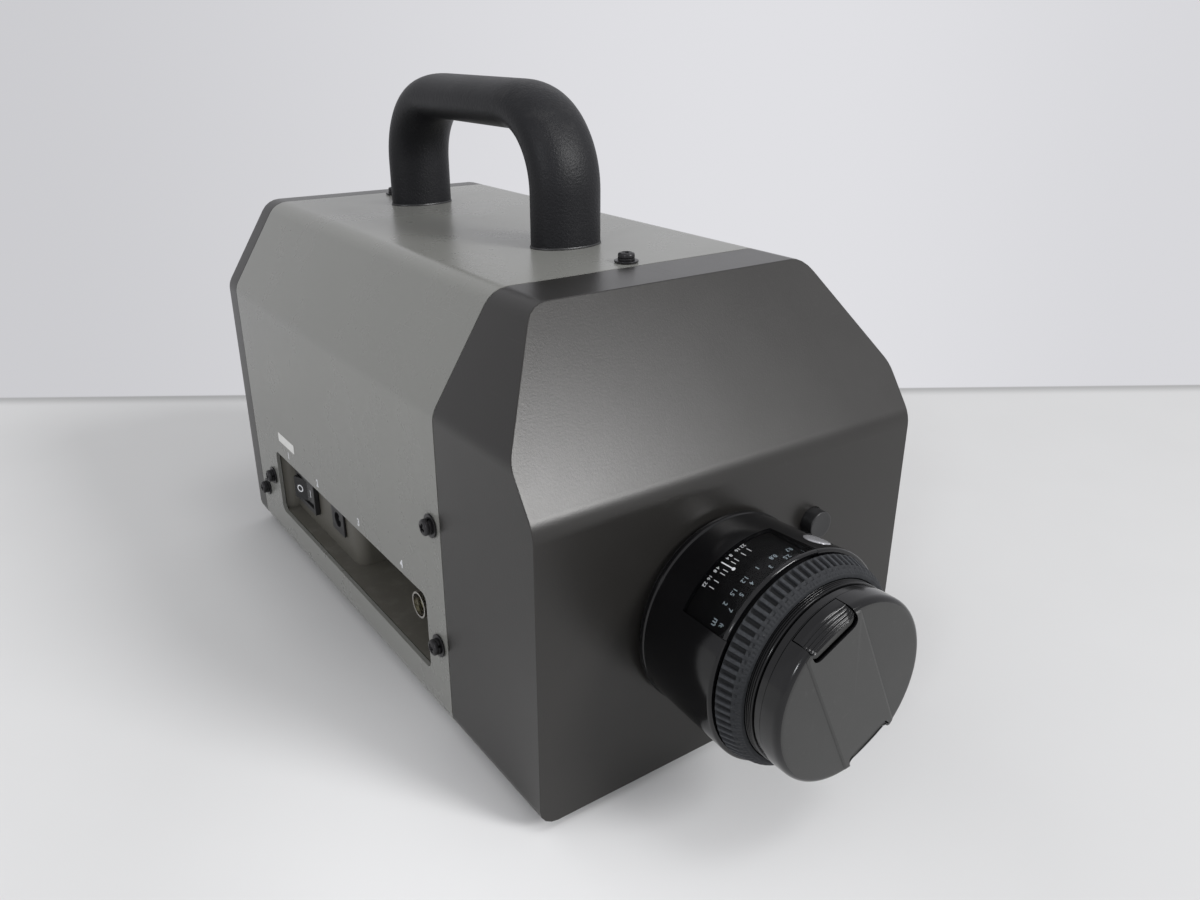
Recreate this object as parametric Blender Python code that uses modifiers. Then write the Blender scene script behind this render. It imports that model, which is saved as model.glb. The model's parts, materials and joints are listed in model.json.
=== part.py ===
"""Spectroradiometer: a bench instrument with a camera type lens, built as an assembly.

Metres, +Z up. The lens points to -Y, and +X is to the right seen from the front.
Inside this script the front face is at Y = 0 and the surface that the feet stand on at Z = 0.
A root empty moves the whole assembly so that the origin is the centre of its footprint.
"""

from math import cos, hypot, pi, radians, sin, sqrt, tan

import bmesh
import bpy
from mathutils import Matrix, Vector

# Fits shared by every piece.
GAP = 0.0003
WELD = 0.00001
OVERRUN = 0.004
ARC_STEPS = 4
ROUND_STEPS = 20
LENS_STEPS = 40
PIN_STEPS = 10

# Body.
BODY_WIDTH = 0.146
BODY_HEIGHT = 0.1445
BODY_LENGTH = 0.250
FOOT_HEIGHT = 0.0035
CHAMFER_ACROSS = 0.02125
CHAMFER_DOWN = 0.0337
BEND_RADIUS = 0.009
BOTTOM_RADIUS = 0.006
COVER_WALL = 0.0015
TONGUE_WALL = 0.0025
TONGUE_LENGTH = 0.0117
COLLAR_LENGTH = 0.014
RETURN_FLANGE = 0.014
BEZEL_DEPTH = 0.0537
SLOPE_SETBACK = 0.0333
SLOPE_START = 0.0955
SLOPE_BEND_RADIUS = 0.012
EDGE_ROUND = 0.0025
REAR_BAND = 0.010
REAR_WALL = 0.003
BASE_THICKNESS = 0.003

# Feet and tripod bush.
FOOT_RADIUS = 0.007
FOOT_SIDE_INSET = 0.025
FOOT_FRONT_INSET = 0.020
FOOT_REAR_INSET = 0.036
BUSH_BORE = 0.0028
BUSH_WALL = 0.0032
BUSH_RIM = 0.0025
BUSH_RIM_THICKNESS = 0.0015
BUSH_PLACE = 0.120

# Cover screws, M3 with captive spring washer and flat washer.
SHANK_RADIUS = 0.0015
SHANK_LENGTH = 0.0075
WASHER_RADIUS = 0.0039
WASHER_THICKNESS = 0.0005
SPRING_WASHER_RADIUS = 0.0026
SPRING_WASHER_THICKNESS = 0.0008
HEAD_RADIUS = 0.0027
HEAD_HEIGHT = 0.0019
HEAD_DOME = 0.0006
SCREW_STEPS = 10
SCREW_FRONT_INSET = 0.0058
SCREW_REAR_INSET = 0.0075
SCREW_UPPER_RISE = 0.073
SCREW_REAR_RISE = 0.0198
SCREW_PANEL_INSET = 0.007

# Carry handle.
HANDLE_FRONT_INSET = 0.0402
HANDLE_REAR_INSET = 0.0351
HANDLE_RISE = 0.0441
HANDLE_BEND = 0.0265
HANDLE_WIDTH = 0.026
HANDLE_DEPTH = 0.0166
BOLT_RADIUS = 0.0025
BOLT_HEAD_RADIUS = 0.0045
BOLT_HEAD_HEIGHT = 0.003
BOLT_LENGTH = 0.018

# Connector recess on the left side.
RECESS_FRONT_INSET = 0.0023
RECESS_REAR_INSET = 0.012
RECESS_RISE = 0.0154
RECESS_HEIGHT = 0.0286
RECESS_CORNER = 0.003
RECESS_STEP_SHARE = 0.528
RECESS_SHALLOW = 0.0075
RECESS_DEEP = 0.019
RECESS_STEP_ROUND = 0.005
PANEL_WALL = 0.0015
PANEL_FLANGE = 0.002
PANEL_LIP = 0.004
PANEL_ROOM = 0.0005

# Ports, at shares of the recess's length from its front end.
JACK_SHARE = 0.121
SERIAL_SHARE = 0.371
INLET_SHARE = 0.651
SWITCH_SHARE = 0.880

# Power switch.
SWITCH_LENGTH = 0.021
SWITCH_WIDTH = 0.015
SWITCH_BEZEL = 0.002
SWITCH_BODY_DEPTH = 0.0135
SWITCH_SHOULDER = 0.001
ROCKER_LENGTH = 0.0165
ROCKER_WIDTH = 0.0100
ROCKER_RISE = 0.0026
ROCKER_DIP = 0.0012
ROCKER_BELLY = 0.0034
ROCKER_BELLY_SHARE = 0.4
ROCKER_TILT_DEG = 10.0
ROCKER_PIN_RADIUS = 0.0009
ROCKER_PIN_REACH = 0.0009

# Power inlet.
INLET_WIDTH = 0.0125
INLET_HEIGHT = 0.0115
INLET_LIP = 0.0008
INLET_SHOULDER = 0.0012
INLET_DEPTH = 0.012
INLET_BORE = 0.0032
INLET_BORE_DEPTH = 0.0095
INLET_PIN = 0.001

# Serial socket.
SERIAL_FLANGE_LENGTH = 0.0308
SERIAL_FLANGE_HEIGHT = 0.0125
SERIAL_FLANGE_THICKNESS = 0.001
SERIAL_SHELL_LENGTH = 0.0169
SERIAL_SHELL_HEIGHT = 0.0083
SERIAL_SHELL_TAPER_DEG = 10.0
SERIAL_SHELL_WALL = 0.0006
SERIAL_SHELL_REACH = 0.0058
SERIAL_BODY_DEPTH = 0.006
SERIAL_PIN_RADIUS = 0.0005
SERIAL_PIN_LENGTH = 0.0042
SERIAL_PIN_PITCH = 0.00277
SERIAL_ROW_PITCH = 0.00284
SERIAL_POST_RADIUS = 0.0024
SERIAL_POST_REACH = 0.0048
SERIAL_POST_PITCH = 0.025

# Sync jack.
JACK_BORE_RADIUS = 0.0042
JACK_WALL = 0.00065
JACK_BARREL_LENGTH = 0.0138
JACK_BORE_DEPTH = 0.0105
JACK_NUT_RIM = 0.002
JACK_NUT_THICKNESS = 0.0025
JACK_TAIL_RADIUS = 0.0045
JACK_TAIL_LENGTH = 0.007
JACK_LUG_RADIUS = 0.001
JACK_LUG_REACH = 0.0009
JACK_LUG_INSET = 0.0035
JACK_CORE_RADIUS = 0.0024
JACK_CORE_LENGTH = 0.0085
JACK_CONTACT_RADIUS = 0.0009

# Lens mount. Places along the lens are distances in front of the front face.
LENS_ACROSS = -0.009
LENS_RISE = 0.0525
MOUNT_BORE = 0.022
MOUNT_SLEEVE_WALL = 0.004
MOUNT_SLEEVE_DEPTH = 0.009
MOUNT_RIM = 0.0035
MOUNT_STAND = 0.002

# Lens barrel, window and focus ring.
FRONT_BARREL_RADIUS = 0.0272
FRONT_BARREL_WALL = 0.0023
FRONT_BARREL_LENGTH = 0.0297
FRONT_BARREL_STAND = 0.0024
FRONT_BARREL_BACK = 0.00256
DRUM_ROOM = 0.0011
DRUM_WALL = 0.0016
DRUM_TUCK = 0.001
BARREL_SKIN = 0.0009
BARREL_FLARE = 0.0018
BARREL_FRONT = 0.0337
BARREL_EDGE = 0.0012
TAIL_WALL = 0.003
TAIL_DEPTH = 0.0065
WINDOW_LENGTH = 0.0179
WINDOW_START_DEG = 83.0
WINDOW_END_DEG = 150.0
WINDOW_THICKNESS = 0.0011
RING_REAR_WALL = 0.0043
RING_FRONT_WALL = 0.0018
RING_GAP = 0.0004
RING_LENGTH = 0.0072

# Glass of the lens.
FILTER_DEPTH = 0.005
FRONT_GLASS_RADIUS = 0.017
FRONT_GLASS_THICKNESS = 0.0055
FRONT_GLASS_BULGE = 0.0022
FRONT_CELL_LENGTH = 0.006
REAR_GLASS_RADIUS = 0.014
REAR_GLASS_THICKNESS = 0.0045
REAR_GLASS_BULGE = 0.0015
REAR_CELL_LENGTH = 0.005

# Lens cap.
CAP_SKIRT_LENGTH = 0.0023
CAP_SKIRT_INSET = 0.0005
CAP_RIM_LENGTH = 0.0071
CAP_EDGE = 0.001
CAP_DISC = 0.0022
CAP_PLUG_REACH = 0.0025
CAP_PLUG_ROOM = 0.0006
CAP_PLUG_WALL = 0.0013
CAP_TAB_DEG = 115.0
CAP_TAB_WIDTH = 0.016
CAP_TAB_REACH = 0.006
CAP_TAB_TRAVEL = 0.002
CAP_TAB_DEPTH = 0.0062
CAP_HOOK_WIDTH = 0.006
CAP_HOOK_THICKNESS = 0.002
CAP_STEM_WIDTH = 0.004
CAP_STEM_LENGTH = 0.0026
CAP_STEM_THICKNESS = 0.0028
CAP_POST_RADIUS = 0.0018
CAP_SPRING_LENGTH = 0.0062
CAP_SPRING_RADIUS = 0.0011
CAP_SPRING_WIRE = 0.0002
CAP_SPRING_TURNS = 6

# Lens release button.
BUTTON_OUT = 0.0388
BUTTON_UP = 0.0167
BUTTON_RADIUS = 0.0046
BUTTON_STAND = 0.0042
BUTTON_COLLAR_RIM = 0.0016
BUTTON_COLLAR_THICKNESS = 0.0015
BUTTON_EDGE = 0.0004
STIRRUP_DEPTH = 0.012
STIRRUP_WALL = 0.0018
BUTTON_SPRING_RADIUS = 0.004
BUTTON_SPRING_WIRE = 0.0003
BUTTON_SPRING_TURNS = 5

# Optical bench and what stands on it.
BENCH_SIDE_INSET = 0.023
BENCH_THICKNESS = 0.005
BENCH_FRONT_INSET = 0.020
BENCH_REAR_INSET = 0.038
UPRIGHT_PLACE = 0.0565
UPRIGHT_THICKNESS = 0.005
UPRIGHT_HALF_WIDTH = 0.022
UPRIGHT_RISE = 0.018
WEDGE_RISE = 0.032
WEDGE_HALF_WIDTH = 0.014
LIGHT_BORE = 0.003
MIRROR_WIDTH = 0.026
MIRROR_LENGTH = 0.040
MIRROR_THICKNESS = 0.002
MIRROR_APERTURE = 0.001
RELAY_CELL_WALL = 0.0025
RELAY_CELL_BORE = 0.0095
RELAY_CELL_LENGTH = 0.022
RELAY_SEAT = 0.0065
RELAY_SEAT_LENGTH = 0.006
RELAY_GLASS_THICKNESS = 0.005
RELAY_GLASS_BULGE = 0.0016

# Dark shutter.
SHUTTER_ROOM = 0.0038
SHUTTER_ASIDE = 0.025
BLADE_THICKNESS = 0.0008
BLADE_LENGTH = 0.031
BLADE_HALF_WIDTH = 0.0055
SHAFT_RADIUS = 0.0015
SHAFT_LENGTH = 0.003
SOLENOID_RADIUS = 0.010
SOLENOID_LENGTH = 0.013
SOLENOID_FOOT = 0.012

# Spectrometer.
SPECTRO_ROOM = 0.0063
SPECTRO_PORT_ROOM = 0.001
SPECTRO_SIDE_INSET = 0.027
SPECTRO_REAR_INSET = 0.045
SPECTRO_RISE = 0.024
SPECTRO_WALL = 0.003
SLIT_BORE = 0.002
GRATING_SIZE = 0.026
GRATING_THICKNESS = 0.008
GRATING_TURN_DEG = 24.0
GRATING_SIDE_INSET = 0.024
GRATING_PLACE_SHARE = 0.433
COLLIMATOR_RADIUS = 0.016
COLLIMATOR_THICKNESS = 0.007
COLLIMATOR_DISH = 0.0018
COLLIMATOR_DISH_SHARE = 0.25
DETECTOR_LENGTH = 0.031
DETECTOR_HEIGHT = 0.020
DETECTOR_THICKNESS = 0.007
DETECTOR_SIDE_INSET = 0.010
DETECTOR_FOOT = 0.010
BOARD_THICKNESS = 0.0016
BOARD_INSET = 0.001
CHIP_HEIGHT = 0.003
CHIP_PLACE_SHARE = 0.5
CHIP_SMALL_SHARE = 0.15
CHIP_LARGE_SHARE = 0.22

# Finder.
FINDER_RISE = 0.042
FINDER_TUBE_RADIUS = 0.0085
FINDER_TUBE_WALL = 0.0012
FINDER_TUBE_REACH = 0.0045
PRISM_SIZE = 0.020
PRISM_WIDTH = 0.018
EYEPIECE_THICKNESS = 0.004
EYEPIECE_BULGE = 0.0012
EYEPIECE_SET_IN = 0.006
DIOPTRE_WALL = 0.0035
DIOPTRE_LENGTH = 0.007
DIOPTRE_RIBS = 18
DIOPTRE_RIB_HEIGHT = 0.0006
EYECUP_FLARE = 0.003
EYECUP_LENGTH = 0.008
EYECUP_WALL = 0.0025

# Worked out from the sizes above: body.
LEFT = -BODY_WIDTH / 2
RIGHT = BODY_WIDTH / 2
UNDERSIDE = FOOT_HEIGHT
TOP = UNDERSIDE + BODY_HEIGHT
SHELL_WALL = COVER_WALL + GAP + TONGUE_WALL
SEAM_REAR = BODY_LENGTH - REAR_BAND
TONGUE_END = BEZEL_DEPTH + TONGUE_LENGTH
COLLAR_START = SEAM_REAR - COLLAR_LENGTH
BASE_LOW = UNDERSIDE + SHELL_WALL + GAP
BASE_HIGH = BASE_LOW + BASE_THICKNESS
SCREW_FRONT = BEZEL_DEPTH + SCREW_FRONT_INSET
SCREW_REAR = SEAM_REAR - SCREW_REAR_INSET
HANDLE_FRONT = BEZEL_DEPTH + HANDLE_FRONT_INSET
HANDLE_REAR = SEAM_REAR - HANDLE_REAR_INSET

# Recess and its ports.
RECESS_FRONT = TONGUE_END + RECESS_FRONT_INSET
RECESS_REAR = COLLAR_START - RECESS_REAR_INSET
RECESS_LENGTH = RECESS_REAR - RECESS_FRONT
RECESS_STEP = RECESS_FRONT + RECESS_LENGTH * RECESS_STEP_SHARE
RECESS_LOW = UNDERSIDE + RECESS_RISE
RECESS_HIGH = RECESS_LOW + RECESS_HEIGHT
PORT_HEIGHT = (RECESS_LOW + RECESS_HIGH) / 2
SHALLOW_FLOOR = LEFT + RECESS_SHALLOW
DEEP_FLOOR = LEFT + RECESS_DEEP
SWITCH_PLACE = RECESS_FRONT + RECESS_LENGTH * SWITCH_SHARE
INLET_PLACE = RECESS_FRONT + RECESS_LENGTH * INLET_SHARE
SERIAL_PLACE = RECESS_FRONT + RECESS_LENGTH * SERIAL_SHARE
JACK_PLACE = RECESS_FRONT + RECESS_LENGTH * JACK_SHARE
JACK_BARREL_RADIUS = JACK_BORE_RADIUS + JACK_WALL

# Lens, from its axis outwards and from the front face forwards.
LENS_HEIGHT = UNDERSIDE + LENS_RISE
MOUNT_SLEEVE_RADIUS = MOUNT_BORE + MOUNT_SLEEVE_WALL
FRONT_BORE = FRONT_BARREL_RADIUS - FRONT_BARREL_WALL
DRUM_RADIUS = FRONT_BARREL_RADIUS + DRUM_ROOM + DRUM_WALL
BARREL_REAR_RADIUS = DRUM_RADIUS + BARREL_SKIN
BARREL_FRONT_RADIUS = BARREL_REAR_RADIUS + BARREL_FLARE
WINDOW_REAR = BARREL_FRONT - WINDOW_LENGTH
DRUM_REAR = WINDOW_REAR - DRUM_TUCK
RING_REAR = BARREL_FRONT + RING_GAP
RING_FRONT = RING_REAR + RING_LENGTH
FRONT_BARREL_FRONT = RING_FRONT + FRONT_BARREL_STAND
FRONT_BARREL_REAR = FRONT_BARREL_FRONT - FRONT_BARREL_LENGTH
CAP_RADIUS = FRONT_BARREL_RADIUS
CAP_REAR = FRONT_BARREL_FRONT + GAP
CAP_STEP = CAP_REAR + CAP_SKIRT_LENGTH
CAP_FRONT = CAP_STEP + CAP_RIM_LENGTH
CAP_INSIDE = CAP_FRONT - CAP_DISC
CAP_PLUG_RADIUS = FRONT_BORE - CAP_PLUG_ROOM
CAP_PLUG_REAR = FRONT_BARREL_FRONT - CAP_PLUG_REACH
CAP_TAB_INNER = CAP_RADIUS - CAP_TAB_REACH
CAP_STEM_INNER = CAP_TAB_INNER - CAP_STEM_LENGTH
CAP_POST_PLACE = CAP_STEM_INNER - CAP_SPRING_LENGTH - CAP_POST_RADIUS - 2 * GAP
BUTTON_ACROSS = LENS_ACROSS + BUTTON_OUT
BUTTON_HEIGHT = LENS_HEIGHT + BUTTON_UP
BUTTON_COLLAR_RADIUS = BUTTON_RADIUS + BUTTON_COLLAR_RIM

# Inside the body.
BENCH_LOW = BASE_HIGH + GAP
BENCH_HIGH = BENCH_LOW + BENCH_THICKNESS
UPRIGHT_REAR = UPRIGHT_PLACE + UPRIGHT_THICKNESS
RELAY_REAR = UPRIGHT_REAR + GAP + RELAY_CELL_LENGTH
BLADE_FRONT = RELAY_REAR + SHUTTER_ROOM
SOLENOID_FRONT = BLADE_FRONT + BLADE_THICKNESS + GAP
SPECTRO_FRONT = SOLENOID_FRONT + SOLENOID_LENGTH + SPECTRO_ROOM
SPECTRO_REAR = BODY_LENGTH - SPECTRO_REAR_INSET
SPECTRO_LEFT = DEEP_FLOOR + JACK_TAIL_LENGTH + SPECTRO_PORT_ROOM
SPECTRO_RIGHT = RIGHT - SPECTRO_SIDE_INSET
SPECTRO_TOP = LENS_HEIGHT + SPECTRO_RISE
FINDER_HEIGHT = LENS_HEIGHT + FINDER_RISE
FINDER_OUTER = FINDER_TUBE_RADIUS + FINDER_TUBE_WALL
FINDER_REAR = BODY_LENGTH + FINDER_TUBE_REACH
DIOPTRE_FRONT = BODY_LENGTH + GAP
DIOPTRE_REAR = DIOPTRE_FRONT + DIOPTRE_LENGTH
DIOPTRE_RADIUS = FINDER_OUTER + GAP + DIOPTRE_WALL
EYECUP_FRONT = DIOPTRE_REAR + GAP
EYECUP_REAR = EYECUP_FRONT + EYECUP_LENGTH
EYECUP_RADIUS = DIOPTRE_RADIUS + EYECUP_FLARE

PAINT = {
    "cover_grey": ((0.24, 0.24, 0.22, 1), 0.45, 0.1),
    "bezel_bronze": ((0.075, 0.072, 0.066, 1), 0.42, 0.35),
    "cast_metal": ((0.55, 0.55, 0.56, 1), 0.5, 0.9),
    "bright_metal": ((0.78, 0.78, 0.77, 1), 0.25, 1.0),
    "black_steel": ((0.02, 0.02, 0.022, 1), 0.35, 0.7),
    "grip_black": ((0.028, 0.029, 0.032, 1), 0.6, 0.0),
    "panel_grey": ((0.17, 0.165, 0.15, 1), 0.5, 0.0),
    "black_plastic": ((0.015, 0.015, 0.017, 1), 0.4, 0.0),
    "lens_black": ((0.008, 0.008, 0.009, 1), 0.15, 0.6),
    "cap_black": ((0.012, 0.012, 0.013, 1), 0.35, 0.0),
    "rubber": ((0.03, 0.031, 0.034, 1), 0.8, 0.0),
    "scale_black": ((0.01, 0.01, 0.01, 1), 0.5, 0.0),
    "glass": ((0.75, 0.85, 0.9, 1), 0.05, 0.0),
    "mirror": ((0.9, 0.9, 0.9, 1), 0.05, 1.0),
    "board_green": ((0.03, 0.16, 0.07, 1), 0.5, 0.0),
    "white_plastic": ((0.7, 0.7, 0.66, 1), 0.4, 0.0),
}

# Turns a flat outline so that it is seen along the named axis.
FACING = {
    "X": Matrix(((0, 0, 1), (1, 0, 0), (0, 1, 0))).to_4x4(),
    "Y": Matrix(((1, 0, 0), (0, 0, -1), (0, 1, 0))).to_4x4(),
    "Z": Matrix.Identity(4),
}


def clear_scene():
    for old in list(bpy.data.objects):
        bpy.data.objects.remove(old, do_unlink=True)


clear_scene()
PARTS = bpy.data.collections.new("spectroradiometer")
CUTTERS = bpy.data.collections.new("cutters")
bpy.context.scene.collection.children.link(PARTS)
bpy.context.scene.collection.children.link(CUTTERS)
FRAME = bpy.data.objects.new("assembly_frame", None)
PARTS.objects.link(FRAME)


def material(name):
    """The material of that name, made from its row in PAINT the first time."""
    found = bpy.data.materials.get(name)
    if found is None:
        found = bpy.data.materials.new(name)
        found.use_nodes = True
        shader = found.node_tree.nodes["Principled BSDF"]
        colour, roughness, metallic = PAINT[name]
        shader.inputs["Base Color"].default_value = colour
        shader.inputs["Roughness"].default_value = roughness
        shader.inputs["Metallic"].default_value = metallic
    return found


def helper(obj):
    """Moves an object to the cutters, where it is drawn as wire and never rendered."""
    for collection in obj.users_collection:
        collection.objects.unlink(obj)
    CUTTERS.objects.link(obj)
    obj.hide_render = True
    obj.display_type = "WIRE"
    obj.parent = FRAME
    return obj


def piece(obj, name, paint, pivot=None):
    """Names a finished piece, paints it, and puts its origin at the pivot if it moves."""
    obj.name = name
    obj.data.name = name
    for collection in obj.users_collection:
        collection.objects.unlink(obj)
    PARTS.objects.link(obj)
    obj.data.materials.clear()
    obj.data.materials.append(material(paint))
    obj.parent = FRAME
    obj.data.shade_smooth()
    obj.data.set_sharp_from_angle(angle=radians(35))
    if pivot is not None:
        place = Vector(pivot)
        obj.data.transform(Matrix.Translation(-place))
        obj.location = place
    return obj


def mesh_from(bm, name="shape"):
    mesh = bpy.data.meshes.new(name)
    bm.to_mesh(mesh)
    bm.free()
    obj = bpy.data.objects.new(name, mesh)
    PARTS.objects.link(obj)
    return obj


def applied(obj):
    """A new object holding the evaluated mesh in place of the given one."""
    bpy.context.view_layer.update()
    graph = bpy.context.evaluated_depsgraph_get()
    mesh = bpy.data.meshes.new_from_object(obj.evaluated_get(graph))
    mesh.transform(obj.matrix_world)
    bm = bmesh.new()
    bm.from_mesh(mesh)
    bmesh.ops.remove_doubles(bm, verts=bm.verts, dist=WELD)
    bm.to_mesh(mesh)
    bm.free()
    result = bpy.data.objects.new(obj.name, mesh)
    PARTS.objects.link(result)
    bpy.data.objects.remove(obj, do_unlink=True)
    return result


def block(low, high):
    """A box from its low corner to its high corner."""
    bm = bmesh.new()
    bmesh.ops.create_cube(bm, size=1)
    size = [b - a for a, b in zip(low, high)]
    middle = [(a + b) / 2 for a, b in zip(low, high)]
    bmesh.ops.scale(bm, vec=size, verts=bm.verts)
    bmesh.ops.translate(bm, vec=middle, verts=bm.verts)
    return mesh_from(bm)


def rod(start, end, radius, steps=16):
    """A cylinder from one point to another."""
    start, end = Vector(start), Vector(end)
    along = end - start
    bm = bmesh.new()
    bmesh.ops.create_cone(
        bm, cap_ends=True, segments=steps, radius1=radius, radius2=radius, depth=along.length
    )
    turn = along.to_track_quat("Z", "Y").to_matrix().to_4x4()
    bmesh.ops.transform(bm, matrix=Matrix.Translation((start + end) / 2) @ turn, verts=bm.verts)
    return mesh_from(bm)


def slab(outlines, axis, start, end):
    """Flat outlines, the later ones as holes, seen along an axis and filled between two places on it."""
    curve = bpy.data.curves.new("outline", "CURVE")
    curve.dimensions = "2D"
    curve.fill_mode = "BOTH"
    curve.extrude = abs(end - start) / 2
    for outline in outlines:
        spline = curve.splines.new("POLY")
        spline.points.add(len(outline) - 1)
        for point, (across, up) in zip(spline.points, outline):
            point.co = (across, up, 0, 1)
        spline.use_cyclic_u = True
    obj = bpy.data.objects.new("slab", curve)
    PARTS.objects.link(obj)
    middle = Vector([(start + end) / 2 if letter == axis else 0 for letter in "XYZ"])
    obj.matrix_world = Matrix.Translation(middle) @ FACING[axis]
    return applied(obj)


def turned(profile, base, along, steps=32):
    """A turned shape. The profile is (radius, distance along) points, from its far end down its outer
    side. It starts and ends on the axis, or is a closed loop round a bore."""
    bm = bmesh.new()
    verts = [bm.verts.new((radius, 0, far)) for radius, far in profile]
    for first, second in zip(verts, verts[1:]):
        bm.edges.new((first, second))
    if profile[0][0] > 0:
        bm.edges.new((verts[-1], verts[0]))
    obj = mesh_from(bm)
    screw = obj.modifiers.new("turn", "SCREW")
    screw.steps = steps
    screw.render_steps = steps
    screw.use_merge_vertices = True
    screw.merge_threshold = GAP / 100
    turn = Vector(along).to_track_quat("Z", "Y").to_matrix().to_4x4()
    obj.matrix_world = Matrix.Translation(Vector(base)) @ turn
    return applied(obj)


def tube(points, radius, resolution=2):
    """A round bar along points."""
    curve = bpy.data.curves.new("bar", "CURVE")
    curve.dimensions = "3D"
    curve.bevel_depth = radius
    curve.bevel_resolution = resolution
    curve.use_fill_caps = True
    spline = curve.splines.new("POLY")
    spline.points.add(len(points) - 1)
    for point, place in zip(spline.points, points):
        point.co = (*place, 1)
    obj = bpy.data.objects.new("bar", curve)
    PARTS.objects.link(obj)
    return applied(obj)


def combine(obj, other, operation):
    boolean = obj.modifiers.new(operation.lower(), "BOOLEAN")
    boolean.operation = operation
    boolean.solver = "EXACT"
    boolean.object = helper(other)
    return obj


def cut(obj, *cutters):
    for cutter in cutters:
        combine(obj, cutter, "DIFFERENCE")
    return obj


def join(obj, *others):
    for other in others:
        combine(obj, other, "UNION")
    return obj


def meet(obj, other):
    return combine(obj, other, "INTERSECT")


def round_rim(obj):
    """Rounds the rim of a casting, and leaves its soft bends as they are."""
    bevel = obj.modifiers.new("rim", "BEVEL")
    bevel.width = EDGE_ROUND
    bevel.segments = 2
    bevel.limit_method = "ANGLE"
    bevel.angle_limit = radians(50)
    return obj


def inset_corners(corners, inset):
    """The corners of an anticlockwise outline moved in by the inset, each with its radius less the inset."""
    moved = []
    for i, (x, y, radius) in enumerate(corners):
        before = Vector(corners[i - 1][:2])
        here = Vector((x, y))
        after = Vector(corners[(i + 1) % len(corners)][:2])
        first = (here - before).normalized()
        second = (after - here).normalized()
        normal_first = Vector((-first.y, first.x))
        normal_second = Vector((-second.y, second.x))
        middle = (normal_first + normal_second).normalized()
        shift = inset / middle.dot(normal_first)
        place = here + middle * shift
        moved.append((place.x, place.y, max(radius - inset, GAP)))
    return moved


def rounded(corners, steps=ARC_STEPS):
    """Outline points of a polygon whose corners are (x, y, radius), with an arc at each corner."""
    points = []
    for i, (x, y, radius) in enumerate(corners):
        before = Vector(corners[i - 1][:2])
        here = Vector((x, y))
        after = Vector(corners[(i + 1) % len(corners)][:2])
        to_before = (before - here).normalized()
        to_after = (after - here).normalized()
        half = to_before.angle(to_after) / 2
        centre = here + (to_before + to_after).normalized() * (radius / sin(half))
        start = here + to_before * (radius / tan(half)) - centre
        end = here + to_after * (radius / tan(half)) - centre
        sweep = end.angle_signed(start)
        for k in range(steps + 1):
            turn = Matrix.Rotation(sweep * k / steps, 2)
            points.append(tuple(centre + turn @ start))
    return points


def rectangle(x0, y0, x1, y1, radius=None):
    corners = [(x0, y0, radius), (x1, y0, radius), (x1, y1, radius), (x0, y1, radius)]
    if radius is None:
        return [corner[:2] for corner in corners]
    return rounded(corners)


def section(inset):
    """Cross-section of the body in X and Z, moved in by the inset."""
    shoulder = TOP - CHAMFER_DOWN
    flat = RIGHT - CHAMFER_ACROSS
    corners = [
        (LEFT, UNDERSIDE, BOTTOM_RADIUS),
        (RIGHT, UNDERSIDE, BOTTOM_RADIUS),
        (RIGHT, shoulder, BEND_RADIUS),
        (flat, TOP, BEND_RADIUS),
        (-flat, TOP, BEND_RADIUS),
        (LEFT, shoulder, BEND_RADIUS),
    ]
    return rounded(inset_corners(corners, inset))


def front_profile(inset, rear, overrun=0.0):
    """Side view of the front bezel in Y and Z: upright below, sloping back above."""
    bend = UNDERSIDE + SLOPE_START
    slope = Vector((SLOPE_SETBACK, BODY_HEIGHT - SLOPE_START))
    reach = (slope.y + overrun) / slope.y
    corners = [
        (0, UNDERSIDE - overrun, GAP),
        (rear, UNDERSIDE - overrun, GAP),
        (rear, bend + slope.y * reach, GAP),
        (slope.x * reach, bend + slope.y * reach, GAP),
        (0, bend, SLOPE_BEND_RADIUS),
    ]
    corners = inset_corners(corners, inset)
    bend_arc = rounded([corners[3], corners[4], corners[0]])[ARC_STEPS + 1 : 2 * ARC_STEPS + 2]
    return [corner[:2] for corner in corners[:4]] + bend_arc


def screw_places():
    """Name, place on the cover and outward direction of every cover screw."""
    up = Vector((0, 0, 1))
    right = Vector((1, 0, 0))
    places = [
        ("screw_top_front", (0, SCREW_FRONT, TOP), up),
        ("screw_top_rear", (0, SCREW_REAR, TOP), up),
        ("screw_left_panel", (LEFT, RECESS_REAR + SCREW_PANEL_INSET, PORT_HEIGHT), -right),
    ]
    rows = (
        ("upper", SCREW_FRONT, UNDERSIDE + SCREW_UPPER_RISE),
        ("lower", SCREW_FRONT, PORT_HEIGHT),
        ("rear", SCREW_REAR, UNDERSIDE + SCREW_REAR_RISE),
    )
    for row, along, height in rows:
        places.append((f"screw_left_{row}", (LEFT, along, height), -right))
        places.append((f"screw_right_{row}", (RIGHT, along, height), right))
    return places


def screw_holes(words):
    """Clearance holes for the screws whose names hold one of the words."""
    holes = []
    for name, place, outward in screw_places():
        if any(word in name for word in words):
            inner = Vector(place) - outward * (SHANK_LENGTH + OVERRUN)
            outer = Vector(place) + outward * OVERRUN
            holes.append(rod(inner, outer, SHANK_RADIUS + GAP, SCREW_STEPS))
    return holes


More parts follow.
